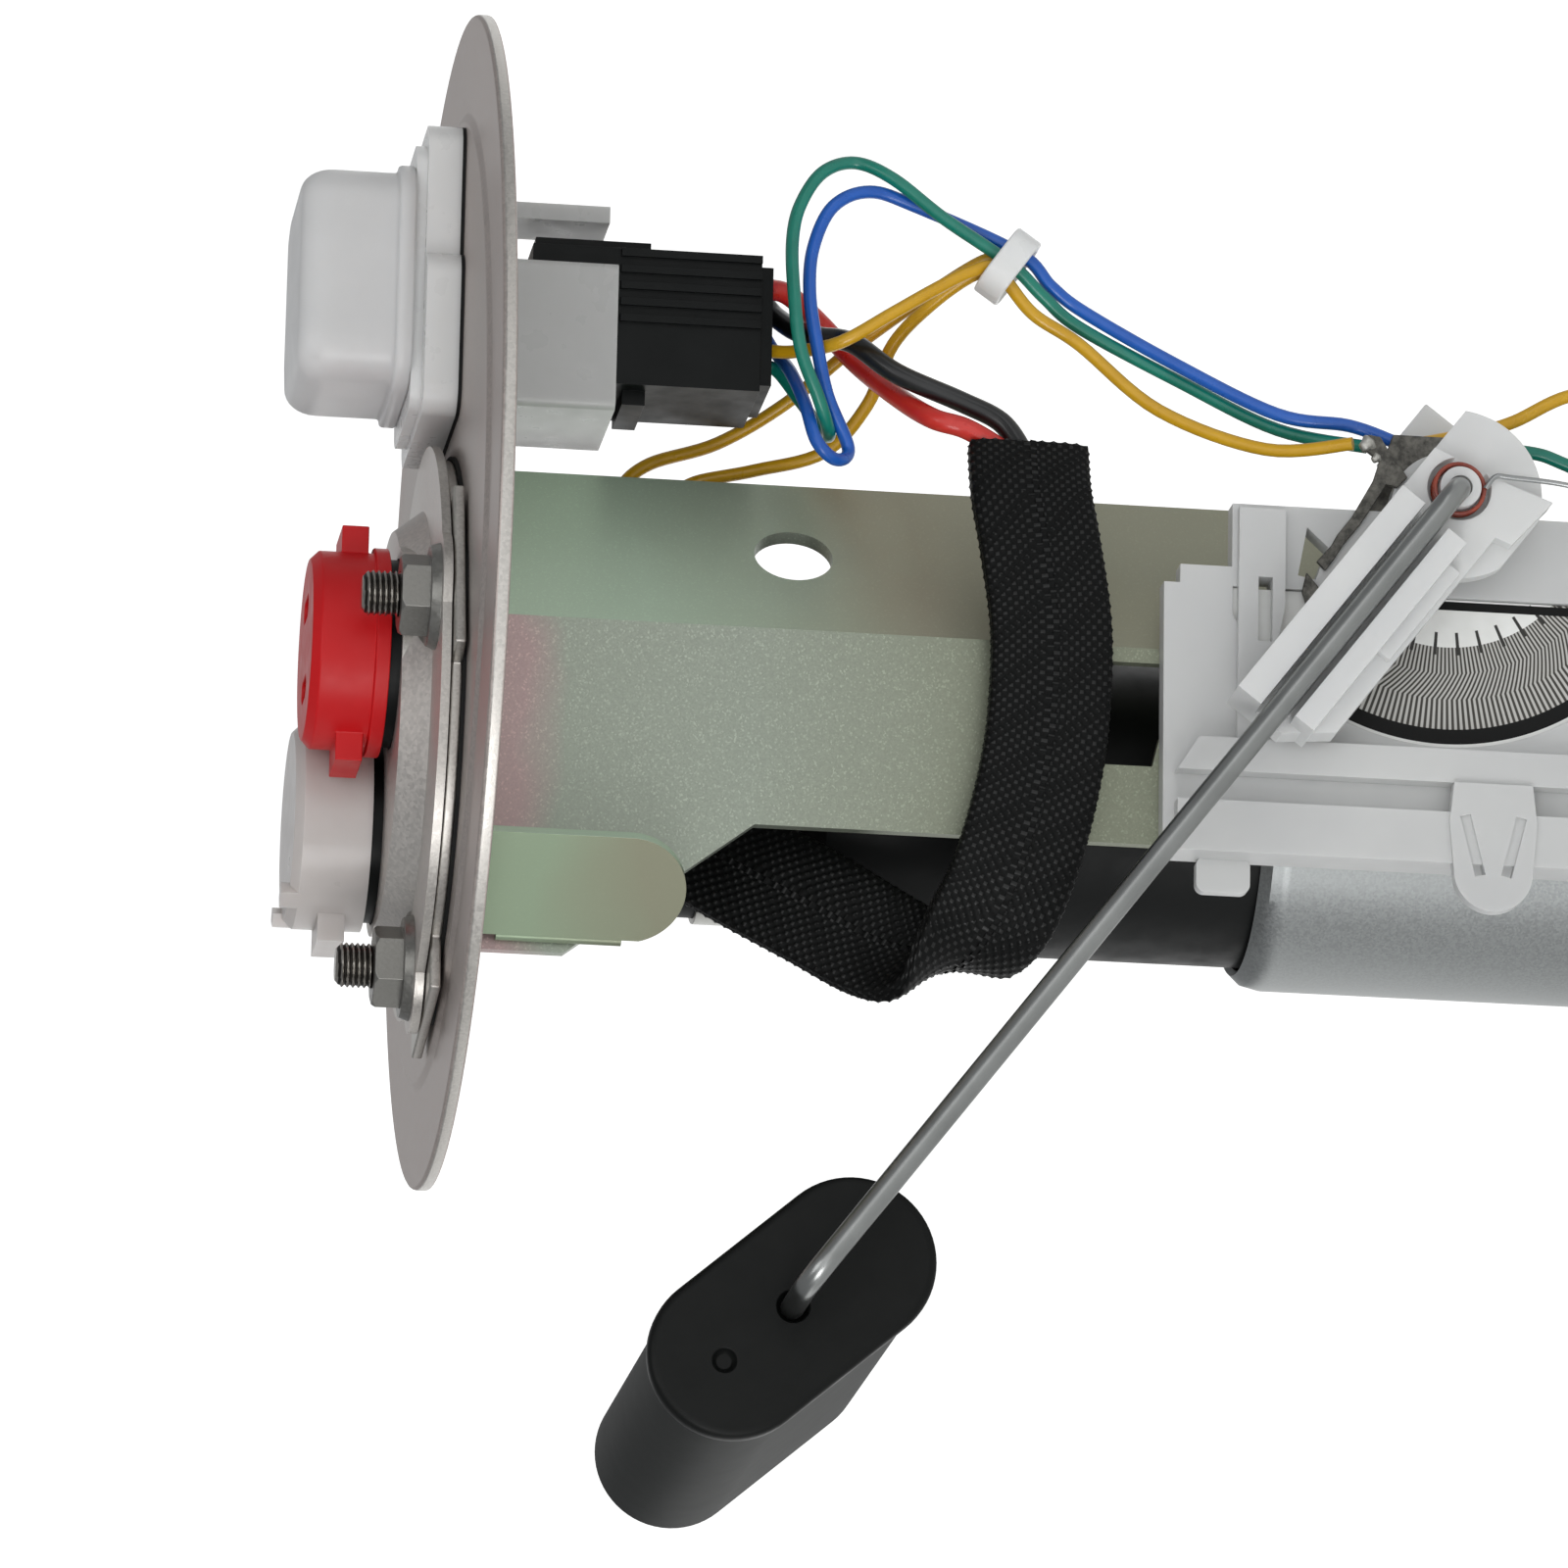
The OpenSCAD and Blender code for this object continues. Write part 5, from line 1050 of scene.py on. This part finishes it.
def wovenSleeve(v):
    # a flattened tube of cloth round the pump leads, its raised crossings set out as diamonds
    centre = smoothPath(routes["sleeve"], v["pathSteps"])
    wide = smoothPath(routes["sleeveWide"], v["pathSteps"])
    lengths = [0.0]
    for i in range(1, len(centre)):
        lengths.append(lengths[-1] + (centre[i] - centre[i - 1]).length)
    rows = int(lengths[-1] / v["row"] * v["fine"])
    around = v["columns"] * v["fine"]
    # points round the section at equal spacing
    dense, samples = [], v["samples"]
    for j in range(samples):
        a = 2 * math.pi * j / samples
        x, y = (math.copysign(abs(t) ** v["square"], t) for t in (math.cos(a), math.sin(a)))
        dense.append((x * v["width"] / 2, y * v["thick"] / 2))
    run = [0.0]
    for j in range(1, samples + 1):
        run.append(run[-1] + math.dist(dense[j % samples], dense[j - 1]))
    section = []
    k = 0
    for j in range(around):
        want = run[-1] * j / around
        while run[k + 1] < want:
            k += 1
        section.append(dense[k])
    verts = []
    for lining in (False, True):
        k = 0
        for i in range(rows + 1):
            want = lengths[-1] * i / rows
            while k < len(lengths) - 2 and lengths[k + 1] < want:
                k += 1
            t = (want - lengths[k]) / (lengths[k + 1] - lengths[k])
            p = centre[k].lerp(centre[k + 1], t)
            tangent = (centre[min(k + 2, len(centre) - 1)] - centre[max(k - 1, 0)]).normalized()
            w = wide[k].lerp(wide[k + 1], t)
            w = (w - tangent * w.dot(tangent)).normalized()
            n = tangent.cross(w)
            for j, (x, y) in enumerate(section):
                outward = Vector((x / v["width"] ** 2, y / v["thick"] ** 2)).normalized()
                off = -v["wall"]
                if not lining:
                    pattern = math.cos(2 * math.pi * j / v["fine"]) * math.cos(2 * math.pi * i / v["fine"])
                    off = v["pebble"] * ((0.5 + 0.5 * pattern) ** 3 - 0.7)
                x2, y2 = x + outward.x * off, y + outward.y * off
                q = p + w * x2 + n * y2
                verts.append((q.x * mm, q.y * mm, q.z * mm))
    size = (rows + 1) * around
    faces = ringQuads(rows + 1, around, flip=True) + ringQuads(rows + 1, around, size)
    for j in range(around):
        m = (j + 1) % around
        faces.append((j, m, size + m, size + j))
        a, b = rows * around + j, rows * around + m
        faces.append((b, a, size + a, size + b))
    mesh = bpy.data.meshes.new("leadSleeve")
    mesh.from_pydata(verts, [], faces)
    for finish in ("wovenBraid", "braidLining", "braidKnot"):
        mesh.materials.append(finishes[finish])
    kinds = []
    for i in range(rows):
        for j in range(around):
            # the top of a crossing, two faces wide each way, takes the painted sheen, and one face in five of them
            # stays dull
            knot = math.cos(2 * math.pi * (j + 0.5) / v["fine"]) * math.cos(2 * math.pi * (i + 0.5) / v["fine"])
            kinds.append(2 if knot > v["knotFrom"] and (i * 7 + j * 3) % 5 else 0)
    # the lining inside the sleeve is painted darker than the outside, as painted shade
    kinds += [1] * (rows * around) + [0] * (2 * around)
    mesh.polygons.foreach_set("material_index", kinds)
    work = bmesh.new()
    work.from_mesh(mesh)
    bmesh.ops.recalc_face_normals(work, faces=work.faces)
    work.to_mesh(mesh)
    work.free()
    shadeByAngle(mesh, 70)
    addPiece("leadSleeve", mesh, "module", ["pump_lead_sleeve"])


wovenSleeve(sleeveValues)
print("sleeve woven")

# Floor and studio light

studioValues = {
    "floor": ("#f4f4f3", "#f6f6f5"),
    "floorSize": 12.0,    # m from the middle to each side
    "floorNear": 0.2,     # glow of the floor round the object
    "floorFar": 0.9,      # glow of the floor behind it, lit as a background
    "farFrom": 100.0,     # mm behind the object where the glow starts to grow
    "farTo": 300.0,       # mm behind it where the glow is full
    "world": "#e4e6e8",
    "worldStrength": 0.38,
    "softboxes": [
        # name, place in mm, aim in mm, size in m, watts
        ("keyBox", (-100, -1450, 60), (0, 0, -80), 1.5, 5.8),
        ("bandBox", (-1050, -925, 20), (0, 0, -120), 0.6, 5.8),
        ("portBox", (-100, -1100, 1200), (0, 0, 0), 0.8, 3.5),
        ("backBox", (600, 2400, 700), (0, 0, 0), 1.2, 1.8),
        ("sideBox", (900, -1100, -300), (0, 0, -60), 0.8, 2.0),
    ],
}


def makeStudio(v):
    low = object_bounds()[0][2]
    size = v["floorSize"]
    mesh = bpy.data.meshes.new("studioFloor")
    corners = [(x * size, y * size, low) for x, y in ((-1, -1), (1, -1), (1, 1), (-1, 1))]
    mesh.from_pydata(corners, [], [(0, 1, 2, 3)])
    floor = bpy.data.objects.new("studioFloor", mesh)
    scene.collection.objects.link(floor)
    material, add, place = startMaterial("floorPaint")
    colour = cloudy(add, place, 900, *v["floor"], detail=2)
    behind = add("SeparateXYZ", (place,), 1)
    glow = add("MapRange", (behind, v["farFrom"] * mm, v["farTo"] * mm, v["floorNear"], v["floorFar"]))
    endMaterial(material, add, {"Base Color": colour, "Emission Color": colour, "Emission Strength": glow,
                                "Roughness": 0.85, "Specular IOR Level": 0.2})
    mesh.materials.append(material)
    floor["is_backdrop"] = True
    world = bpy.data.worlds.new("studioAir")
    world.use_nodes = True
    back = world.node_tree.nodes["Background"]
    back.inputs["Color"].default_value = hexColour(v["world"])
    back.inputs["Strength"].default_value = v["worldStrength"]
    scene.world = world
    for name, place, aim, size, watts in v["softboxes"]:
        data = bpy.data.lights.new(name, "AREA")
        data.shape = "SQUARE"
        data.size = size
        data.energy = watts
        lamp = bpy.data.objects.new(name, data)
        lamp.location = Vector(place) * mm
        lamp.rotation_mode = "QUATERNION"
        lamp.rotation_quaternion = (Vector(aim) - Vector(place)).to_track_quat("-Z", "Y")
        scene.collection.objects.link(lamp)
    scene.view_settings.view_transform = "Standard"


makeStudio(studioValues)
print("studio lit")
